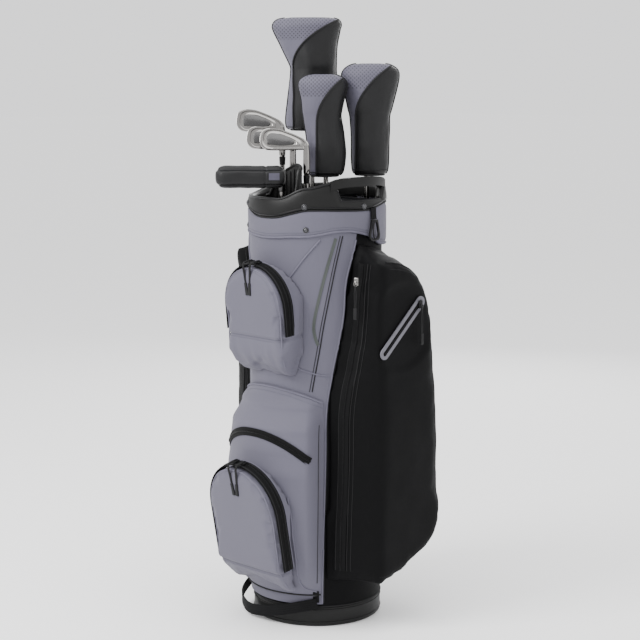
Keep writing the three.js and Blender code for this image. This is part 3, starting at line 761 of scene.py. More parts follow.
# ---------------------------------------------------------------- shells of the bag
def ring_shell(columns, rows, radius, low, high, thick):
    """A band right round the bag: radius(bearing, up), with its heights by bearing, in millimetres."""
    def place(around, up):
        bearing = around * 360 - 180
        return polar(bearing, radius(bearing, up), low(bearing) + (high(bearing) - low(bearing)) * up)
    thing = shaped_grid(columns, rows, place, (0.8, 0.1), around=True)
    apply(thing, "SOLIDIFY", thickness=thick * MM, offset=-1)
    return thing


def bag_shells():
    def body_radius(bearing, up):
        return 125.6 + 0.5 * ripple(polar(bearing, 126, up * 700), 14)
    body = ring_shell(144, 60, body_radius, lambda b: 38.4, lambda b: collar_low(b) - 1.2, 4)
    piece(body, "body_skin", "bag", "black_cloth", "black_fabric", "body_fabric")

    def collar_radius(bearing, up):
        edge = min(up, 1 - up)
        puff = 1.2 * ripple(polar(bearing, 134, 780 + 60 * up), 18)
        return 131.4 + 2.4 * eased(edge, [(0, 0), (0.16, 1)]) + puff * 0.5
    collar = ring_shell(192, 14, collar_radius, collar_low, collar_top, 9)
    piece(collar, "collar_skin", "bag", "grey_cloth", "grey_fabric", "collar_band", angle=60)

    def panel(across, up):
        z = 46.4 + (750 - 46.4) * up
        edge = panel_edge(z)
        bearing = -edge + 2 * edge * across
        z = 46.4 + (collar_low(bearing) - 0.6 - 46.4) * up
        near_edge = min(across, 1 - across) * 2 * edge
        puff = 0.5 * eased(near_edge, [(0, 0), (8, 1)]) + 0.35 * ripple(polar(bearing, 131, z), 15)
        return polar(bearing, 130.3 + puff, z)
    front = shaped_grid(72, 150, panel, (0.33, 0.7))
    apply(front, "SOLIDIFY", thickness=0.003, offset=-1)
    piece(front, "front_panel_skin", "bag", "grey_cloth", "grey_fabric", "front_panel", angle=60)
    return body, collar, front


MID = {"side": 51, "low": 64, "top": 470, "drop": 27}
MID_HEM = 0.035


def mid_pocket():
    """The lower front pocket: a bulging grey panel under an arched, piped top edge."""
    def place(across, up):
        sweep = 2 * across - 1
        bearing = sweep * MID["side"]
        z = MID["low"] + (MID["top"] - MID["drop"] * sweep ** 2 - MID["low"]) * up
        out = mid_bulge(z, bearing)
        hem = eased(min(across, 1 - across, up, 1 - up), [(0, 0), (MID_HEM, 1)])
        soft = ripple(polar(bearing, 150, z), 13, (1, 1, 0.8)) * 1.5 + ripple(polar(bearing, 150, z), 34) * 0.5
        return polar(bearing, 131.4 + out * (0.55 + 0.45 * hem) + soft * hem, z)
    thing = shaped_grid(96, 150, place, (0.25, 0.42))
    apply(thing, "SOLIDIFY", thickness=0.003, offset=-1)
    piece(thing, "mid_pocket_skin", "bag", "grey_cloth", "grey_fabric", "mid_pocket", angle=60)
    return thing


def laid_tube(name, points, skin, radius, look, slot, gap=0.005, sink=0.35, closed=False):
    """Piping along [bearing, z] points, pressed on to the skin and partly sunk in its seam."""
    route = smooth_route([polar(bearing, 150, z) for bearing, z in points], gap)
    laid, _ = skin.press(route, radial, radius * (1 - 2 * sink))
    return piece(tube(laid, radius, closed), name, "bag", look, slot)


def laid_strip(name, points, skin, width, thick, look, slot, gap=0.004, lift=0.0002):
    """Tape along [bearing, z] points, pressed on to the skin."""
    route = smooth_route([polar(bearing, 150, z) for bearing, z in points], gap)
    laid, _ = skin.press(route, radial)
    thing = strip(laid, [radial(p) for p in laid], width, thick, lift=lift)
    return piece(thing, name, "bag", look, slot)


# ---------------------------------------------------------------- arched pocket trim
ZIP_INSET = 0.007
ZIP_WIDE = 0.024


def arched_trim(face, skin):
    """The rim piping, the zip band round the wall, the cross seam and its stitches. The cross seam is a thin darker
    tube that is partly the sewn line and partly painted shade in the seam's fold.
    """
    name = face.name
    rim = [skin.tree.find_nearest(face.at(a, u, 0.002))[0] for a, u in face.arch(-0.002, -face.low + 0.022)]
    rim = smooth_route(calmed(rim, 6), 0.004)
    piece(tube(rim, 0.0017), f"{name}_rim_piping", "bag", "grey_piping", "grey_fabric")
    low = -face.seam + 0.006
    wall = face.arch(-0.0012, low)
    middle = -ZIP_INSET - ZIP_WIDE / 2
    route = smooth_route([face.at(a, u, middle) for a, u in wall], 0.004)
    outward = []
    for point in route:
        across, up = (point - face.centre).dot(Vector((1, 0, 0))), (point - face.centre).dot(face.up)
        outward.append((Vector((across, 0, 0)) + face.up * max(up, 0)).normalized())
    band = strip(route, outward, ZIP_WIDE, 0.0016, crown=0.0008)
    piece(band, f"{name}_zip_band", "bag", "tape", "zip", f"{name}_zip")
    for tag, aside, radius, look in (("teeth", 0, 0.0016, "teeth"), ("seam_front", 0.0085, 0.0006, "dark_thread"),
                                     ("seam_back", -0.0085, 0.0006, "dark_thread")):
        line = [p + o * (0.0022 if aside == 0 else 0.0018) + face.out * aside for p, o in zip(route, outward)]
        piece(tube(line, radius), f"{name}_zip_{tag}", "bag", look, "zip")
    back_edge = [p + o * 0.0006 - face.out * (ZIP_WIDE / 2 + 0.0014) for p, o in zip(route, outward)]
    piece(tube(back_edge, 0.0013), f"{name}_gusset_piping", "bag", "grey_piping", "grey_fabric")
    # Cross seam: a thin tube in the darker thread colour, sunk in the seam's groove, is partly the sewn line and
    # partly painted shade of the fold.
    seam = [face.at(a, -face.seam) for a in (-0.96 * face.radius, 0, 0.96 * face.radius)]
    laid, _ = skin.press(smooth_route(seam, 0.003), lambda point: face.out, -0.0002)
    piece(tube(laid, 0.0007), f"{name}_cross_seam", "bag", "thread", "grey_fabric")
    below = [p - face.up * 0.004 for p in laid]
    stitch_row(f"{name}_stitches", below, skin, lambda p: face.out, "thread", "grey_fabric")
    inner = [face.at(a, u) for a, u in face.arch(0.0085, -face.seam + 0.004)]
    stitch_row(f"{name}_rim_stitches", inner, skin, lambda point: face.out, "thread", "grey_fabric")


def stitch_row(name, points, skin, outward, look, slot, body="bag", long=0.0028, gap=0.0014, radius=0.00035):
    """A row of short thread stitches laid along a route on the skin."""
    laid, normals = skin.press(smooth_route(points, long + gap), outward, 0.00005)
    bpy.ops.mesh.primitive_cylinder_add(vertices=5, radius=radius, depth=long)
    pattern = bpy.context.object
    stitches = []
    for place, way, normal in zip(laid, tangents(laid), normals):
        side = normal.cross(way).normalized()
        axes = Matrix((side, normal, way)).transposed().to_4x4()
        stitches.append(placed_copy(pattern, Matrix.Translation(place) @ axes))
    bpy.data.objects.remove(pattern)
    return piece(joined(*stitches), name, body, look, slot)


def zip_pull():
    """One slider with its cord pull, made flat at the top of an arch: x along the zip, y out from the arch, z out
    of the face."""
    reach = UPPER_REACH
    middle = -ZIP_INSET - ZIP_WIDE / 2
    bpy.ops.mesh.primitive_cube_add(size=1)
    shoe = bpy.context.object
    shoe.data.transform(Matrix.Translation((0, reach + 0.0021, middle)) @ Matrix.Diagonal((0.0088, 0.004, 0.0115, 1)))
    apply(shoe, "BEVEL", width=0.0014, segments=3)
    bridge = tube(smooth_route([(0, reach + 0.0038, middle - 0.004), (0, reach + 0.0058, middle),
                                (0, reach + 0.0038, middle + 0.004)], 0.0008), 0.0009)
    strands = []
    for side in (-1, 1):
        x = side * 0.0013
        route = [(0.0006 * side, reach + 0.0052, middle), (x, reach + 0.0052, middle + 0.009),
                 (x, reach + 0.0036, -0.0005),
                 (x, reach - 0.003, 0.0034), (x, reach - 0.018, 0.0034), (x * 1.1, reach - 0.035, 0.0033)]
        strands.append(tube(smooth_route(route, 0.0015), 0.0013))
    bpy.ops.mesh.primitive_cube_add(size=1)
    tag = bpy.context.object
    tag.data.transform(Matrix.Translation((0, reach - 0.046, 0.0036)) @ Matrix.Diagonal((0.0082, 0.024, 0.0046, 1)))
    only(tag)
    bpy.ops.object.mode_set(mode="EDIT")
    bpy.ops.mesh.select_all(action="SELECT")
    bpy.ops.mesh.subdivide(number_cuts=2)
    bpy.ops.object.mode_set(mode="OBJECT")
    for vertex in tag.data.vertices:
        slim = eased(vertex.co.y, [(reach - 0.054, 0.96), (reach - 0.038, 0.74), (reach - 0.034, 0.8)])
        vertex.co.x *= slim
    apply(tag, "BEVEL", width=0.0012, segments=3, limit_method="ANGLE", angle_limit=math.radians(50))
    return shoe, bridge, strands, tag


UPPER_REACH = UPPER.radius + 0.00355


def front_sliders():
    """Four sliders alike: one is made for the upper arch, and the lower arch's pair sits further out."""
    shoe, bridge, strands, tag = zip_pull()
    hard, soft = joined(shoe, bridge), joined(*strands, tag)
    for face in (UPPER, BALL):
        step_out = Matrix.Translation((0, face.radius - UPPER.radius, 0))
        for side, turn in (("left", -6.5), ("right", 6.5)):
            node = f"{face.name}_slider_{side}"
            place = face.matrix(math.radians(turn)) @ step_out
            piece(placed_copy(hard, place), f"{face.name}_zip_shoe_{side}", node, "dark_plastic", "zip", node)
            piece(placed_copy(soft, place), f"{face.name}_cord_pull_{side}", node, "black_cord", "zip")
    bpy.data.objects.remove(hard)
    bpy.data.objects.remove(soft)


# ---------------------------------------------------------------- middle zip, panel seams and collar trim
MID_ZIP = {"y": -79.5, "z": 277, "radius": 135.4, "up_y": -0.6365, "up_z": 0.7705, "half": 56, "width": 17}


def mid_zip(skin):
    """The curved zip across the lower pocket, on a circle about a leaning axis."""
    def ring(aside):
        route = []
        for step in range(57):
            turn = math.radians(-MID_ZIP["half"] + 2 * MID_ZIP["half"] * step / 56)
            reach = MID_ZIP["radius"] + aside
            rise = MID_ZIP["radius"] * math.cos(turn) + aside
            route.append(Vector((reach * math.sin(turn), MID_ZIP["y"] + rise * MID_ZIP["up_y"],
                                 MID_ZIP["z"] + rise * MID_ZIP["up_z"] - aside * 0.2)) * MM)
        return route
    laid, normals = skin.press(ring(0), radial)
    side = [n * 0.5 + radial(p) * 0.5 for n, p in zip(normals, laid)]
    band = strip(laid, [n.normalized() for n in side], 0.016, 0.0014, crown=0.0007, lift=0.0004)
    piece(band, "mid_zip_band", "bag", "tape", "zip", "mid_zip")
    lifted = [p + n * 0.0028 for p, n in zip(laid, normals)]
    piece(tube(lifted, 0.0013), "mid_zip_teeth", "bag", "teeth", "zip")
    for tag, aside in (("upper", 10.5), ("lower", -10.5)):
        edge, _ = skin.press(ring(aside), radial, 0.0002)
        piece(tube(edge, 0.0011), f"mid_zip_{tag}_fold", "bag", "grey_piping", "grey_fabric")


def edge_line(side, extra=0.0, low=48, high=748, steps=16):
    """Bearing and height pairs down a side edge of the front panel, or beside it by extra millimetres."""
    pairs = []
    for step in range(steps + 1):
        z = low + (high - low) * step / steps
        pairs.append((side * (panel_edge(z) + extra / 131 * 57.3), z))
    return pairs


# Seams of the front panel's right half, as bearing and height pairs. The left half mirrors them.
DARK_SEAM = ((67.5, 756), (60.9, 693), (52.2, 596), (48.7, 548), (45.8, 511), (41.9, 462))
SLANT_SEAM = ((48.7, 750), (35.4, 715), (20.8, 671), (14, 650))
SWEEP_PIPING = ((20.7, 557), (23.2, 525), (30.5, 507), (44.6, 496), (55.5, 492))
SAGE_TAPE = ((61.5, 752), (53.9, 694), (47, 633), (43.4, 590), (44.4, 566), (47, 551))


def panel_trim(shell, pocket):
    skin = Skin(shell, pocket)
    for name, side in (("right", 1), ("left", -1)):
        laid_tube(f"panel_{name}_piping", edge_line(side, -1.5), skin, 0.0017, "grey_piping", "grey_fabric")
        beyond = Skin(shell, pocket, NODES["body_fabric"])
        laid_tube(f"panel_{name}_dark_piping", edge_line(side, 1.6), beyond, 0.0016, "dark_piping",
                  "black_fabric")
        dark = [(side * b, z) for b, z in DARK_SEAM]
        laid_tube(f"panel_{name}_inner_seam", dark, skin, 0.0012, "dark_piping", "grey_fabric")
        beside = [(b - side * 2.2, z) for b, z in dark]
        laid_tube(f"panel_{name}_second_seam", beside, skin, 0.0008, "dark_thread", "grey_fabric")
        slant = [(side * b, z) for b, z in SLANT_SEAM]
        laid_tube(f"panel_{name}_slant_seam", slant, skin, 0.0017, "grey_piping", "grey_fabric")
        sweep = [(side * b, z) for b, z in SWEEP_PIPING]
        laid_tube(f"panel_{name}_sweep_piping", sweep, skin, 0.0017, "grey_piping", "grey_fabric")
        sage = [(side * b, z) for b, z in SAGE_TAPE]
        laid_strip(f"panel_{name}_sage_tape", sage, skin, 0.0058, 0.0008, "sage_tape", "grey_fabric")
    laid_strip("panel_foot_tab", [(45, 74), (45.2, 50)], skin, 0.012, 0.0014, "webbing", "webbing")


def mid_trim(pocket):
    skin = Skin(pocket)
    top = []
    for step in range(25):
        sweep = -1 + 2 * step / 24
        top.append((sweep * MID["side"] * 0.985, MID["top"] - 2.5 - MID["drop"] * sweep ** 2))
    laid_tube("mid_top_piping", top, skin, 0.0019, "grey_piping", "grey_fabric")
    below = [(b, z - 9) for b, z in top]
    stitch_row("mid_top_stitches", [polar(b, 150, z) for b, z in below], skin, radial, "thread", "grey_fabric")
    for name, side in (("right", 1), ("left", -1)):
        down = [(side * b, z) for b, z in ((47.5, 400), (47, 359), (46.6, 240), (46.2, 150), (46, 92))]
        laid_tube(f"mid_{name}_seam", down, skin, 0.0009, "dark_thread", "grey_fabric")
        foot = [(side * b, z) for b, z in ((27.8, 266), (30.4, 220), (31.7, 158), (33, 111), (36, 86), (46, 73))]
        laid_tube(f"mid_{name}_gusset_seam", foot, skin, 0.0016, "grey_piping", "grey_fabric")
    foot = [(b, 66.5) for b in (-49, -25, 0, 25, 49)]
    laid_tube("mid_foot_piping", foot, skin, 0.0016, "dark_piping", "black_fabric")


def snap(name, place, out, body="bag"):
    """A chrome snap: a domed cap in a rolled ring."""
    profile = [(0, 0.0026), (0.0018, 0.0024), (0.0032, 0.0016), (0.0038, 0.0007), (0.0046, 0.0014), (0.0054, 0.0011),
               (0.0058, -0.0006)]
    thing = turned(profile, 28)
    thing.data.transform(Matrix.Translation(place) @ out.to_track_quat("Z", "Y").to_matrix().to_4x4())
    piece(thing, name, body, "gunmetal", "chrome")


def turned(profile, steps=40):
    """A piece spun about Z from a profile of radius and height pairs, in metres."""
    data = bpy.data.meshes.new("turned")
    data.from_pydata([(r, 0, z) for r, z in profile], [(i, i + 1) for i in range(len(profile) - 1)], [])
    thing = bpy.data.objects.new("turned", data)
    bpy.context.scene.collection.objects.link(thing)
    only(thing)
    bpy.ops.object.mode_set(mode="EDIT")
    bpy.ops.mesh.select_all(action="SELECT")
    bpy.ops.mesh.spin(steps=steps, angle=2 * math.pi, center=(0, 0, 0), axis=(0, 0, 1))
    bpy.ops.mesh.select_all(action="SELECT")
    bpy.ops.mesh.remove_doubles(threshold=0.00001)
    bpy.ops.mesh.normals_make_consistent(inside=False)
    bpy.ops.object.mode_set(mode="OBJECT")
    return thing


def collar_trim(collar):
    skin = Skin(collar)
    bearings = range(-180, 181, 12)
    hem = [(b, collar_low(b) + 1.5) for b in bearings]
    laid_tube("collar_low_piping", hem, skin, 0.0021, "grey_piping", "grey_fabric")
    laid_tube("collar_top_piping", [(b, collar_top(b) - 1.5) for b in bearings], skin, 0.0019, "dark_piping",
              "black_fabric")
    stitch_row("collar_stitches", [polar(b, 150, collar_low(b) + 9) for b in bearings], skin, radial, "thread",
               "grey_fabric")
    for name, bearing, z in (("right", 37, 768), ("left", -37, 768)):
        laid, _ = skin.press([polar(bearing, 150, z)], radial)
        snap(f"collar_snap_{name}", laid[0], radial(laid[0]))
    ring = Skin(NODES["throat_ring"])
    for name, bearing, drop in (("right", 36, 0), ("side", 87, 0), ("left", -36, 0), ("far_side", -87, 0)):
        laid, _ = ring.press([polar(bearing, 150, collar_top(bearing) + 6 - drop)], radial)
        snap(f"rim_snap_{name}", laid[0], radial(laid[0]))


# ---------------------------------------------------------------- side pockets
# The outline of the side pockets' outer face, as y and z in millimetres.
SIDE_EDGE = [(-30, 96), (6, 99), (38, 105), (84, 128), (122, 147), (142, 180), (148, 230), (144, 330), (138, 449),
             (128, 540), (116, 610), (92, 664), (62, 692), (30, 705), (-8, 711)]


def track_line(node):
    """The middle line and the outward ways of a CAD strip that runs up the bag."""
    levels = {}
    for vertex in NODES[node].data.vertices:
        levels.setdefault(round(vertex.co.z, 4), []).append(vertex.co)
    line, ways = [], []
    for z in sorted(levels):
        corners = levels[z]
        middle = sum(corners, Vector()) / len(corners)
        far = max(corners, key=lambda p: (p - middle).length)
        other = max(corners, key=lambda p: (p - far).length)
        way = Vector((far.y - other.y, other.x - far.x, 0)).normalized()
        line.append(middle)
        ways.append(-way if way.dot(Vector((0.2, -1, 0))) < 0 else way)
    return line, ways


def side_pocket_trim(side, pocket):
    flip = 1 if side == "right" else -1
    skin = Skin(pocket)
    line, ways = track_line("side_zip_right")
    line = [Vector((p.x * flip, p.y, p.z)) for p in line]
    out = sum(ways, Vector()).normalized()
    out.x *= flip
    route = smooth_route(line, 0.005)
    laid, _ = skin.press(route, lambda point: out, 0.0)
    middle = [p + out * 0.0008 for p in laid]
    band = strip(middle, [out] * len(middle), 0.02, 0.0014, crown=0.0006)
    piece(band, f"side_zip_{side}_band", "bag", "tape", "zip", *(["side_zip_right"] if side == "right" else []))
    beside = out.cross(Vector((0, 0, 1))).normalized()
    lines = (("teeth", 0, 0.0014, "teeth"), ("fold_inner", 0.0112, 0.0012, "dark_piping"),
             ("fold_outer", -0.0112, 0.0012, "dark_piping"), ("seam_outer", -0.019, 0.0007, "dark_piping"))
    for tag, aside, radius, look in lines:
        shifted, _ = skin.press([p + beside * aside for p in route], lambda point: out, 0.0004)
        if tag == "teeth":
            shifted = [p + out * 0.0024 for p in middle]
        piece(tube(shifted, radius), f"side_zip_{side}_{tag}", "bag", look, "zip")
    edge = smooth_route([(flip * 0.197, y * MM, z * MM) for y, z in SIDE_EDGE], 0.004)
    centre = Vector((flip * 0.19, 0.03, 0.4))
    rim = []
    for point in edge:
        hit, normal, _, _ = skin.tree.find_nearest(point + (point - centre).normalized() * 0.004)
        rim.append(hit + normal * 0.0003)
    piece(tube(rim, 0.0017), f"side_pocket_{side}_piping", "bag", "dark_piping", "black_fabric")
    inner = [point.lerp(centre, 0.045) for point in edge]
    stitch_row(f"side_pocket_{side}_stitches", inner, skin, lambda p: Vector((flip, 0, 0)), "dark_thread",
               "black_fabric")


def hanging_pull(node, name, body, shoe_look, at, out, drop):
    """A zip slider with a cord loop and its end tag, hanging straight down from a point, facing outwards."""
    aside = out.cross(Vector((0, 0, 1))).normalized()
    bpy.ops.mesh.primitive_cube_add(size=1)
    shoe = bpy.context.object
    shoe.data.transform(Matrix.Diagonal((0.0095, 0.0042, 0.0155, 1)))
    apply(shoe, "BEVEL", width=0.0016, segments=3)
    axes = Matrix((aside, -out, Vector((0, 0, 1)))).transposed().to_4x4()
    shoe.data.transform(Matrix.Translation(at) @ axes)
    ring = tube([at + out * 0.0036 + aside * (0.0034 * math.cos(t)) + Vector((0, 0, -0.004 + 0.0042 * math.sin(t)))
                 for t in (math.pi * i / 12 for i in range(24))], 0.0008, closed=True)
    piece(joined(shoe, ring), name + "_shoe", body, shoe_look, "chrome" if shoe_look == "polished" else "zip", node)
    strands = []
    for side in (-1, 1):
        route = [at + out * 0.004 + Vector((0, 0, -0.006)),
                 at + out * 0.0042 + aside * side * 0.0016 + Vector((0, 0, -0.02)),
                 at + out * 0.004 + aside * side * 0.0018 + Vector((0, 0, -drop * 0.5)),
                 at + out * 0.004 + aside * side * 0.0011 + Vector((0, 0, -drop))]
        strands.append(tube(smooth_route(route, 0.002), 0.0011))
    bpy.ops.mesh.primitive_cube_add(size=1)
    tag = bpy.context.object
    tag.data.transform(Matrix.Diagonal((0.0072, 0.0044, 0.022, 1)))
    apply(tag, "BEVEL", width=0.0014, segments=3)
    tag.data.transform(Matrix.Translation(at + out * 0.004 + Vector((0, 0, -drop - 0.008))) @ axes)
    piece(joined(*strands, tag), name + "_cord", body, "black_cord", "zip")


def side_fittings():
    low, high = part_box("side_slider_right")
    _, ways = track_line("side_zip_right")
    out = sum(ways, Vector()).normalized()
    top = Vector(((low.x + high.x) / 2, (low.y + high.y) / 2, high.z - 0.008))
    hanging_pull("side_slider_right", "side_slider", "side_slider_right", "polished", top + out * 0.001, out, 0.052)

    fine_copy("slant_zip_trim", "bag", "grey_trim", "grey_trim", "slant_zip_frame", edge=0.0011, bevels=3)
    low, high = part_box("slant_zip_frame")
    turn = math.radians(SLANT_TURN)
    way = Vector((0, math.cos(turn), math.sin(turn)))
    middle = Vector((low.x, (low.y + high.y) / 2, (low.z + high.z) / 2))
    route = smooth_route([middle - way * 0.068, middle, middle + way * 0.068], 0.004)
    out = Vector((1, 0, 0))
    piece(strip(route, [out] * len(route), 0.0092, 0.0012), "slant_zip_tape", "bag", "tape", "zip")
    piece(tube([p + out * 0.0014 for p in route], 0.0012), "slant_zip_teeth", "bag", "teeth", "zip")
    low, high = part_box("slant_slider")
    top = Vector((low.x + 0.0028, (low.y + high.y) / 2, high.z - 0.007))
    hanging_pull("slant_slider", "slant_slider", "slant_slider", "dark_plastic", top, out, 0.058)


# ---------------------------------------------------------------- throat, handle, base and straps
def throat_top(bearing):
    return eased(bearing, [(-180, 842), (-100, 838), (-55, 826), (12, 826), (38, 846), (60, 856), (66, 822),
                           (114, 822), (120, 856), (145, 846), (180, 842)])


def turned_point(club, across, back, z):
    """A point beside a club's shaft, in the clubs' turned axes, in millimetres."""
    place = Matrix.Rotation(CLUB_TURN, 4, "Z") @ Vector((across, back, 0))
    return SHAFT_AT[club] + Vector((place.x, place.y, z)) * MM


def throat():
    ring = cad_copy("throat_ring")
    apply(ring, "BEVEL", width=0.0025, segments=3, limit_method="ANGLE", angle_limit=math.radians(35))
    piece(ring, "throat_moulding", "bag", "rubber", "rubber", "throat_ring", angle=50)
    lip = [polar(b, 129.5, throat_top(b) - 1.5) for b in range(-180, 180, 3)]
    piece(tube(lip, 0.0024, closed=True), "throat_lip", "bag", "dark_plastic", "rubber")
    groove_line = [polar(b, 134.6, collar_top(b) + 4) for b in range(-180, 180, 4)]
    piece(tube(groove_line, 0.0014, closed=True), "throat_foot_bead", "bag", "dark_plastic", "rubber")
    fine_copy("side_handle_bar", "bag", "rubber", "rubber", "side_handle", edge=0.0045, bevels=4, angle=60)

    def well_top(angle):
        return eased(angle, [(-50, 826), (-25, 876), (40, 884), (90, 872), (138, 826)])
    fine_copy("putter_well_wall", "bag", "rubber", "rubber", "putter_well", edge=0.001)
    edge = []
    for step in range(61):
        angle = -56 + 206 * step / 60
        way = math.radians(angle)
        edge.append(turned_point("putter", 36 * math.cos(way), 36 * math.sin(way), well_top(angle) + 0.6))
    piece(tube(edge, 0.0033), "putter_well_lip", "bag", "rubber", "rubber")
    ribs = []
    for step in range(13):
        angle = -44 + 182 * step / 12
        way = math.radians(angle)
        foot, top = 790, well_top(angle) - 7
        if top - foot > 20:
            across, back = 33.6 * math.cos(way), 33.6 * math.sin(way)
            ribs.append(tube([turned_point("putter", across, back, z) for z in (foot, top)], 0.0013))
    piece(joined(*ribs), "putter_well_ribs", "bag", "rubber", "rubber")


def base():
    fine_copy("base_ring", "bag", "rubber", "rubber", "base_cup", edge=0.0022, bevels=3)
    for tag, z in (("low", 8.5), ("high", 33)):
        bead = [polar(b, 125.9, z) for b in range(0, 360, 4)]
        piece(tube(bead, 0.0009, closed=True), f"base_{tag}_bead", "bag", "rubber", "rubber")
    cuff = [polar(b, 125.6, 40) for b in range(0, 360, 4)]
    piece(tube(cuff, 0.0016, closed=True), "cuff_piping", "bag", "dark_piping", "black_fabric")


BASE_STRAP = [(-80, 129.5, 66), (-66, 143, 42), (-48, 150, 24), (-26, 145, 16), (-6, 139, 20), (14, 136.5, 31),
              (32, 135.6, 42), (46, 134.4, 49)]


def straps():
    route = smooth_route([polar(*place) for place in BASE_STRAP], 0.004)
    loop = strip([p - radial(p) * 0.001 for p in route], [radial(p) for p in route], 0.021, 0.0022)
    piece(loop, "base_strap_webbing", "bag", "webbing", "webbing", "base_strap")
    towel = [polar(97, 136.5, 806), polar(97, 137.6, 790), polar(97, 138.6, 785)]
    route = smooth_route(towel, 0.002)
    tab = strip([p - radial(p) * 0.001 for p in route], [radial(p) for p in route], 0.0145, 0.0018)
    piece(tab, "towel_strap_webbing", "bag", "webbing", "webbing", "towel_strap")
    fine_copy("towel_ring_loop", "towel_ring", "dark_plastic", "webbing", "towel_ring", edge=0.0013, bevels=3)
    low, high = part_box("towel_ring")
    middle, out = (low + high) / 2, radial((low + high) / 2)
    side = Vector((0, 0, 1)).cross(out)
    top = Vector((middle.x, middle.y, high.z - 0.003)) + out * 0.003
    loop = [top + side * (0.0075 * math.sin(t)) + Vector((0, 0, -0.017 + 0.017 * math.cos(t)))
            for t in (2 * math.pi * i / 28 for i in range(28))]
    piece(tube(loop, 0.0012, closed=True), "towel_ring_cord", "towel_ring", "black_cord", "webbing")


def inside():
    """Linings and divider walls keep their CAD shapes, with lining cloth on them."""
    for node in ("liner_tube", "divider_front", "divider_rear", "divider_back", "divider_middle"):
        NODES[node].data.materials.clear()
        NODES[node].data.materials.append(LOOKS["lining"].material)


# ---------------------------------------------------------------- head covers
BORDER_CURVE = 2.1


class Cover:
    """A sewn head cover: oval rings read from the CAD body, with a place for every turn and height."""

    def __init__(self, club, split_low, split_high, across_low, across_high):
        self.club = club
        self.seam = (split_low, split_high, across_low, across_high)
        unturn = Matrix.Rotation(-CLUB_TURN, 4, "Z")
        levels = {}
        for node in (club + "_cover_neck", club + "_cover"):
            for vertex in NODES[node].data.vertices:
                local = unturn @ (vertex.co - SHAFT_AT[club])
                levels.setdefault(round(local.z * 1000), []).append(local * 1000)
        top = max(levels)
        rings = []
        for z in sorted(levels):
            across = [p.x for p in levels[z]]
            back = [p.y for p in levels[z]]
            ring = (z, (max(across) + min(across)) / 2, (max(across) - min(across)) / 2, (max(back) - min(back)) / 2)
            distinct = {(round(p.x, 1), round(p.y, 1)) for p in levels[z]}
            if len(distinct) > 24 or z == top:
                if not rings or z - rings[-1][0] > 4 or z == top:
                    rings.append(ring)
        self.rings = smooth_route(rings, 2.5)
        self.rings.append(Vector((rings[-1][0], rings[-1][1], 0.2, 0.2)))

    def ring(self, up):
        place = up * (len(self.rings) - 1)
        step = min(int(place), len(self.rings) - 2)
        return self.rings[step].lerp(self.rings[step + 1], place - step)

    def at(self, turn, up, lift=0.0):
        """turn is 0 at the right and -90 facing the front; lift is in millimetres."""
        z, shift, wide, deep = self.ring(up)
        way = math.radians(turn)
        soft = 1.3 * ripple(Vector((math.cos(way), math.sin(way), z / 60)), 1.6)
        slack = eased(up, [(0.1, 0.3), (0.4, 1), (0.8, 0.3)])
        fold = 1.1 * ripple(Vector((math.cos(way), math.sin(way), z / 160)), 4.5) * slack
        fill = min(1.0, wide / 12)
        reach = lift + (soft + fold - 0.9) * fill
        return turned_point(self.club, shift + (wide + reach) * math.cos(way), (deep + reach) * math.sin(way), z)

    def border(self, z):
        """How far across the sewn line between the pale front and the black side lies."""
        low, high, near, far = self.seam
        share = max(0.0, (z - low) / (high - low))
        return near + (far - near) * share ** BORDER_CURVE

    def seam_route(self, lift):
        route = []
        for step in range(241):
            up = step / 240
            z, shift, wide, _ = self.ring(up)
            share = (self.border(z) - shift) / max(wide, 0.5)
            if z > self.rings[-8][0] or share > 0.97:
                break
            turn = -math.degrees(math.acos(max(-0.995, share)))
            route.append(self.at(turn, up, lift))
        return route


def cover_finish(cover):
    """Black grained skin with a pale front panel up to the sewn line, and fine eyelets at its top."""
    pale, dark = shade(GREY, 1.0), (0.0075, 0.0075, 0.008)
    finish = Finish(cover.club + "_cover_skin", dark, 0.48, fixed={"Specular IOR Level": 0.22})
    centre = SHAFT_AT[cover.club]
    cosine, sine = math.cos(CLUB_TURN), math.sin(CLUB_TURN)
    x, y = finish.x - centre.x, finish.y - centre.y
    across, back = (x * cosine + y * sine) * 1000, (y * cosine - x * sine) * 1000
    low, high, near, far = cover.seam
    height = finish.z * 1000
    share = ((height - low) * (1 / (high - low))).most(0.0)
    border = (share ** BORDER_CURVE) * (far - near) + near
    front = (across < border) * (back < 2.0)
    rows = ((across * 0.85).sine() * (height * 0.85).sine()) > 0.45
    eyelets = rows * front * (height > low + (high - low) * 0.55)
    mottle = finish.grain(24, 3)
    tone = (mottle * 1.2 - 0.1).kept_within()
    black = finish.blend(tone, shade(dark, 0.8), shade(dark, 1.25))
    grey = finish.blend(tone, shade(pale, 0.92), shade(pale, 1.06))
    skin = finish.blend(front, dark, pale)
    for socket, value in zip(skin.socket.node.inputs[6:8], (black, grey)):
        finish.tree.links.new(value.socket, socket)
    finish.set("Base Color", finish.blend(eyelets * 0.75, skin, shade(GREY, 0.25)))
    finish.set("Roughness", mottle * 0.18 + front * 0.14 + 0.36)
    pores = finish.node("ShaderNodeTexVoronoi", {"feature": "DISTANCE_TO_EDGE"},
                        {"Vector": finish.place, "Scale": 620.0}, "Distance")
    finish.bump(pores * 0.5 + finish.grain(26, 3) * 2.6 - eyelets * 0.6, 0.0012, 0.7)
    return finish


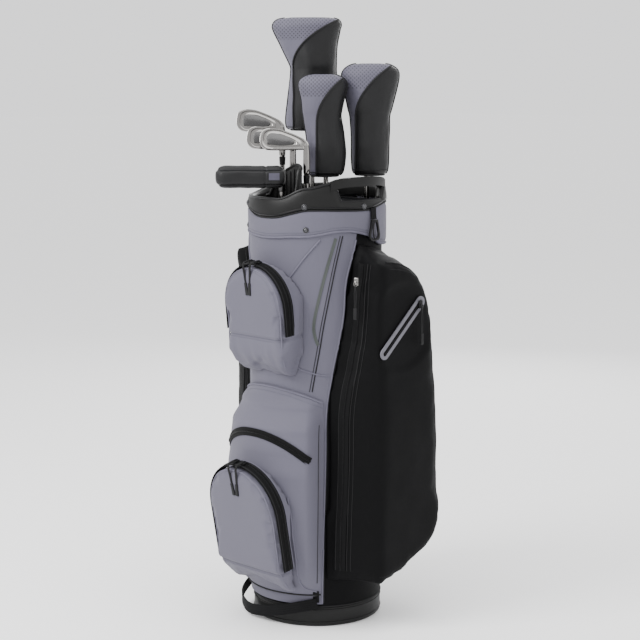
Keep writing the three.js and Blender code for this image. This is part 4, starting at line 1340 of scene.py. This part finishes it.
def wood_cover(cover):
    club, body = cover.club, cover.club + "_cover"
    LOOKS[club + "_cover"] = cover_finish(cover)
    shell = shaped_grid(64, 90, lambda around, up: cover.at(around * 360, up), around=True)
    apply(shell, "SOLIDIFY", thickness=0.0018, offset=-1)
    piece(shell, f"{club}_cover_skin", body, f"{club}_cover", "cover_skin", f"{club}_cover",
          f"{club}_cover_neck", angle=70)
    seam = cover.seam_route(0.6)
    piece(tube(smooth_route(seam, 0.003), 0.0019), f"{club}_cover_seam_piping", body, "dark_piping", "cover_skin")
    for tag, turn in (("left", 176), ("right", 4)):
        run = [cover.at(turn, step / 60, 0.5) for step in range(1, 58)]
        piece(tube(run, 0.0018), f"{club}_cover_{tag}_piping", body, "dark_piping", "cover_skin")
    for tag, up, radius in (("hem", 0.004, 0.0022), ("hem_seam", 0.055, 0.0007)):
        ring = [cover.at(turn, up, 0.3) for turn in range(0, 360, 6)]
        piece(tube(ring, radius, closed=True), f"{club}_cover_{tag}", body, "dark_piping", "cover_skin")


# ---------------------------------------------------------------- clubs
BLADE = [(5, 4), (-35, 3), (-70, 3), (-82, 7), (-88, 17), (-88, 30), (-84, 41), (-72, 46), (-52, 44.5), (-34, 38),
         (-18, 31), (-2, 22), (4, 14)]
CAVITY_PLATE = [(-74, 14), (-76, 27), (-68, 36), (-48, 33), (-28, 24), (-24, 15), (-46, 11), (-74, 14)]
IRONS = {"long_iron": (943, 24), "mid_iron": (911, 24), "short_iron": (910, 30)}


def iron_blade():
    """One iron head lying flat: x across from the shaft, y up the blade, z out of its cavity side."""
    outline = smooth_route([(x, y, 0) for x, y in [*BLADE, BLADE[0]]], 2.6)[:-1]
    centre = Vector((-44, 23, 0))
    rings = [(0, -1.0, 0), (0.5, -1.0, 0), (0.97, -1.0, 0), (1, -0.5, 0), (1, -0.5, 0.9), (1, -0.3, 1), (0.985, 0, 1),
             (0.93, 0, 1), (0.87, 0, 1), (0.858, -0.2, 1), (0.85, -1.6, 1), (0.842, -2.2, 1), (0.8, -2.3, 1),
             (0.66, -2.3, 1), (0.645, -2.1, 1), (0.635, -1.3, 1), (0.62, -1.15, 1), (0.52, -1.15, 1),
             (0.505, -1.7, 1),
             (0.49, -1.75, 1), (0.3, -1.75, 1), (0, -1.75, 1)]

    def place(around, up):
        edge = outline[round(around * len(outline)) % len(outline)]
        scale, lift, from_face = rings[round(up * (len(rings) - 1))]
        point = centre + (edge - centre) * scale
        point.z = lift + from_face * (3.7 + 0.09 * point.y)
        return point * MM
    blade = shaped_grid(len(outline), len(rings) - 1, place, around=True)
    only(blade)
    bpy.ops.object.mode_set(mode="EDIT")
    bpy.ops.mesh.select_all(action="SELECT")
    bpy.ops.mesh.normals_make_consistent(inside=False)
    bpy.ops.object.mode_set(mode="OBJECT")
    return blade


def irons():
    blade = iron_blade()
    badge_outline = smooth_route([(x * MM, y * MM, 0) for x, y in CAVITY_PLATE], 0.003)[:-1]
    bpy.ops.mesh.primitive_circle_add(vertices=len(badge_outline), radius=0.03, fill_type="NGON")
    badge = bpy.context.object
    for vertex, place in zip(badge.data.vertices, badge_outline):
        vertex.co = place + Vector((0, 0, 0.0026 + place.y * 0.09))
    apply(badge, "SOLIDIFY", thickness=0.0012, offset=-1)
    apply(badge, "BEVEL", width=0.0004, segments=2)
    for club, (blade_z, loft) in IRONS.items():
        tilt = math.radians(loft)
        axes = Matrix(((1, 0, 0, 0), (0, math.sin(tilt), -math.cos(tilt), 0), (0, math.cos(tilt), math.sin(tilt), 0),
                       (0, 0, 0, 1)))
        place = (Matrix.Translation(SHAFT_AT[club] + Vector((0, 0, blade_z * MM)))
                 @ Matrix.Rotation(CLUB_TURN, 4, "Z") @ axes)
        head = placed_copy(blade, place)
        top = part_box(club + "_shaft")[1].z
        hosel = turned([(0, 0), (0.0050, 0), (0.0063, 0.004), (0.0066, 0.012), (0.0062, blade_z * MM - top),
                        (0.0045, blade_z * MM - top + 0.012), (0, blade_z * MM - top + 0.013)])
        hosel.data.transform(Matrix.Translation(SHAFT_AT[club] + Vector((0, 0, top))))
        piece(joined(head, hosel), f"{club}_blade", club, "polished", "chrome", f"{club}_head")
        piece(placed_copy(badge, place), f"{club}_cavity_plate", club, "brushed", "chrome")
        ferrule = turned([(0.0049, -0.016), (0.0056, -0.0155), (0.0064, -0.0006), (0.0049, 0)])
        ferrule.data.transform(Matrix.Translation(SHAFT_AT[club] + Vector((0, 0, top))))
        piece(ferrule, f"{club}_ferrule", club, "dark_plastic", "grip")
    bpy.data.objects.remove(blade)
    bpy.data.objects.remove(badge)


def shafts_and_grips():
    for club in SHAFT_AT:
        fine_copy(f"{club}_steel_shaft", club, "polished", "chrome", f"{club}_shaft", edge=0.0003, bevels=1)
        fine_copy(f"{club}_rubber_grip", club, "grip", "grip", f"{club}_grip", edge=0.0012, bevels=2)
    for club in ("driver", "fairway", "hybrid"):
        head = cad_copy(f"{club}_head")
        apply(head, "SUBSURF", levels=2, render_levels=2)
        piece(head, f"{club}_club_head", club, "head_paint", "head_paint", f"{club}_head", angle=70)
    fine_copy("putter_blade", "putter", "brushed", "chrome", "putter_head", edge=0.0016, bevels=3)


def putter_cover():
    """The padded sleeve over the putter's head, open at the heel and under the shaft."""
    long, deep, tall = 0.135, 0.0385, 0.0425
    bpy.ops.mesh.primitive_cube_add(size=1)
    sleeve = bpy.context.object
    sleeve.data.transform(Matrix.Diagonal((long, deep, tall, 1)))
    apply(sleeve, "BEVEL", width=0.0178, segments=7)
    apply(sleeve, "REMESH", mode="VOXEL", voxel_size=0.003)
    apply(sleeve, "SMOOTH", factor=0.6, iterations=4)
    apply(sleeve, "SUBSURF", levels=1, render_levels=1)

    def quilt(point):
        welt = groove(point.z - 0.0135, 0.004, 0.0016) + groove(point.z + 0.0155, 0.004, 0.0014)
        return welt + ripple(point, 40) * 0.0012 + groove(point.x - 0.028, 0.0035, 0.0011)
    dented(sleeve, quilt)
    sleeve.data.transform(Matrix.Translation((-0.0585, -0.008, 0.864)))
    only(sleeve)
    bpy.ops.object.mode_set(mode="EDIT")
    bpy.ops.mesh.select_all(action="DESELECT")
    bpy.ops.object.mode_set(mode="OBJECT")
    for face in sleeve.data.polygons:
        at_heel = face.center.x > 0.0065
        under_shaft = face.center.x > -0.011 and abs(face.center.y) < 0.0105 and face.center.z < 0.85
        face.select = at_heel or under_shaft
    bpy.ops.object.mode_set(mode="EDIT")
    bpy.ops.mesh.delete(type="FACE")
    bpy.ops.object.mode_set(mode="OBJECT")
    apply(sleeve, "SOLIDIFY", thickness=0.002, offset=-1)
    place = Matrix.Translation(SHAFT_AT["putter"]) @ Matrix.Rotation(CLUB_TURN, 4, "Z")
    sleeve.data.transform(place)
    piece(sleeve, "putter_sleeve", "putter_cover", "skin_black", "cover_skin", "putter_cover", angle=70)
    for tag, z, inset, look in (("upper", 0.8775, 0.0012, "dark_thread"), ("lower", 0.8485, 0.0008, "dark_piping")):
        skin = Skin(sleeve)
        run = smooth_route([place @ Vector((x, -0.04, z)) for x in (-0.116, -0.06, 0.002)], 0.003)
        laid, _ = skin.press(run, lambda point: (place.to_3x3() @ Vector((0, -1, 0))), inset * 0.4)
        piece(tube(laid, 0.0009 if tag == "upper" else 0.0013), f"putter_sleeve_{tag}_seam", "putter_cover", look,
              "cover_skin")
    patch = smooth_route([place @ Vector((x, -0.04, 0.8655)) for x in (-0.024, -0.014, -0.004)], 0.002)
    laid, _ = skin.press(patch, lambda point: (place.to_3x3() @ Vector((0, -1, 0))))
    front = place.to_3x3() @ Vector((0, -1, 0))
    patch = strip(laid, [front] * len(laid), 0.013, 0.0009)
    piece(patch, "putter_sleeve_patch", "putter_cover", "grey_tape", "cover_skin")


def build():
    inside()
    soft = soft_bag_pieces()
    _, collar, front = bag_shells()
    mid = mid_pocket()
    for face in (UPPER, BALL):
        arched_trim(face, Skin(soft[face.name + "_pocket"]))
    front_sliders()
    mid_zip(Skin(mid))
    panel_trim(front, mid)
    mid_trim(mid)
    collar_trim(collar)
    for side in ("right", "left"):
        side_pocket_trim(side, soft[f"side_pocket_{side}"])
    side_fittings()
    throat()
    base()
    straps()
    for cover in (Cover("driver", 1072, 1163, -37, 58), Cover("fairway", 972, 1074, -22, 50),
                  Cover("hybrid", 962, 1054, -18, 42)):
        wood_cover(cover)
    irons()
    shafts_and_grips()
    putter_cover()


build()
low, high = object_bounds()
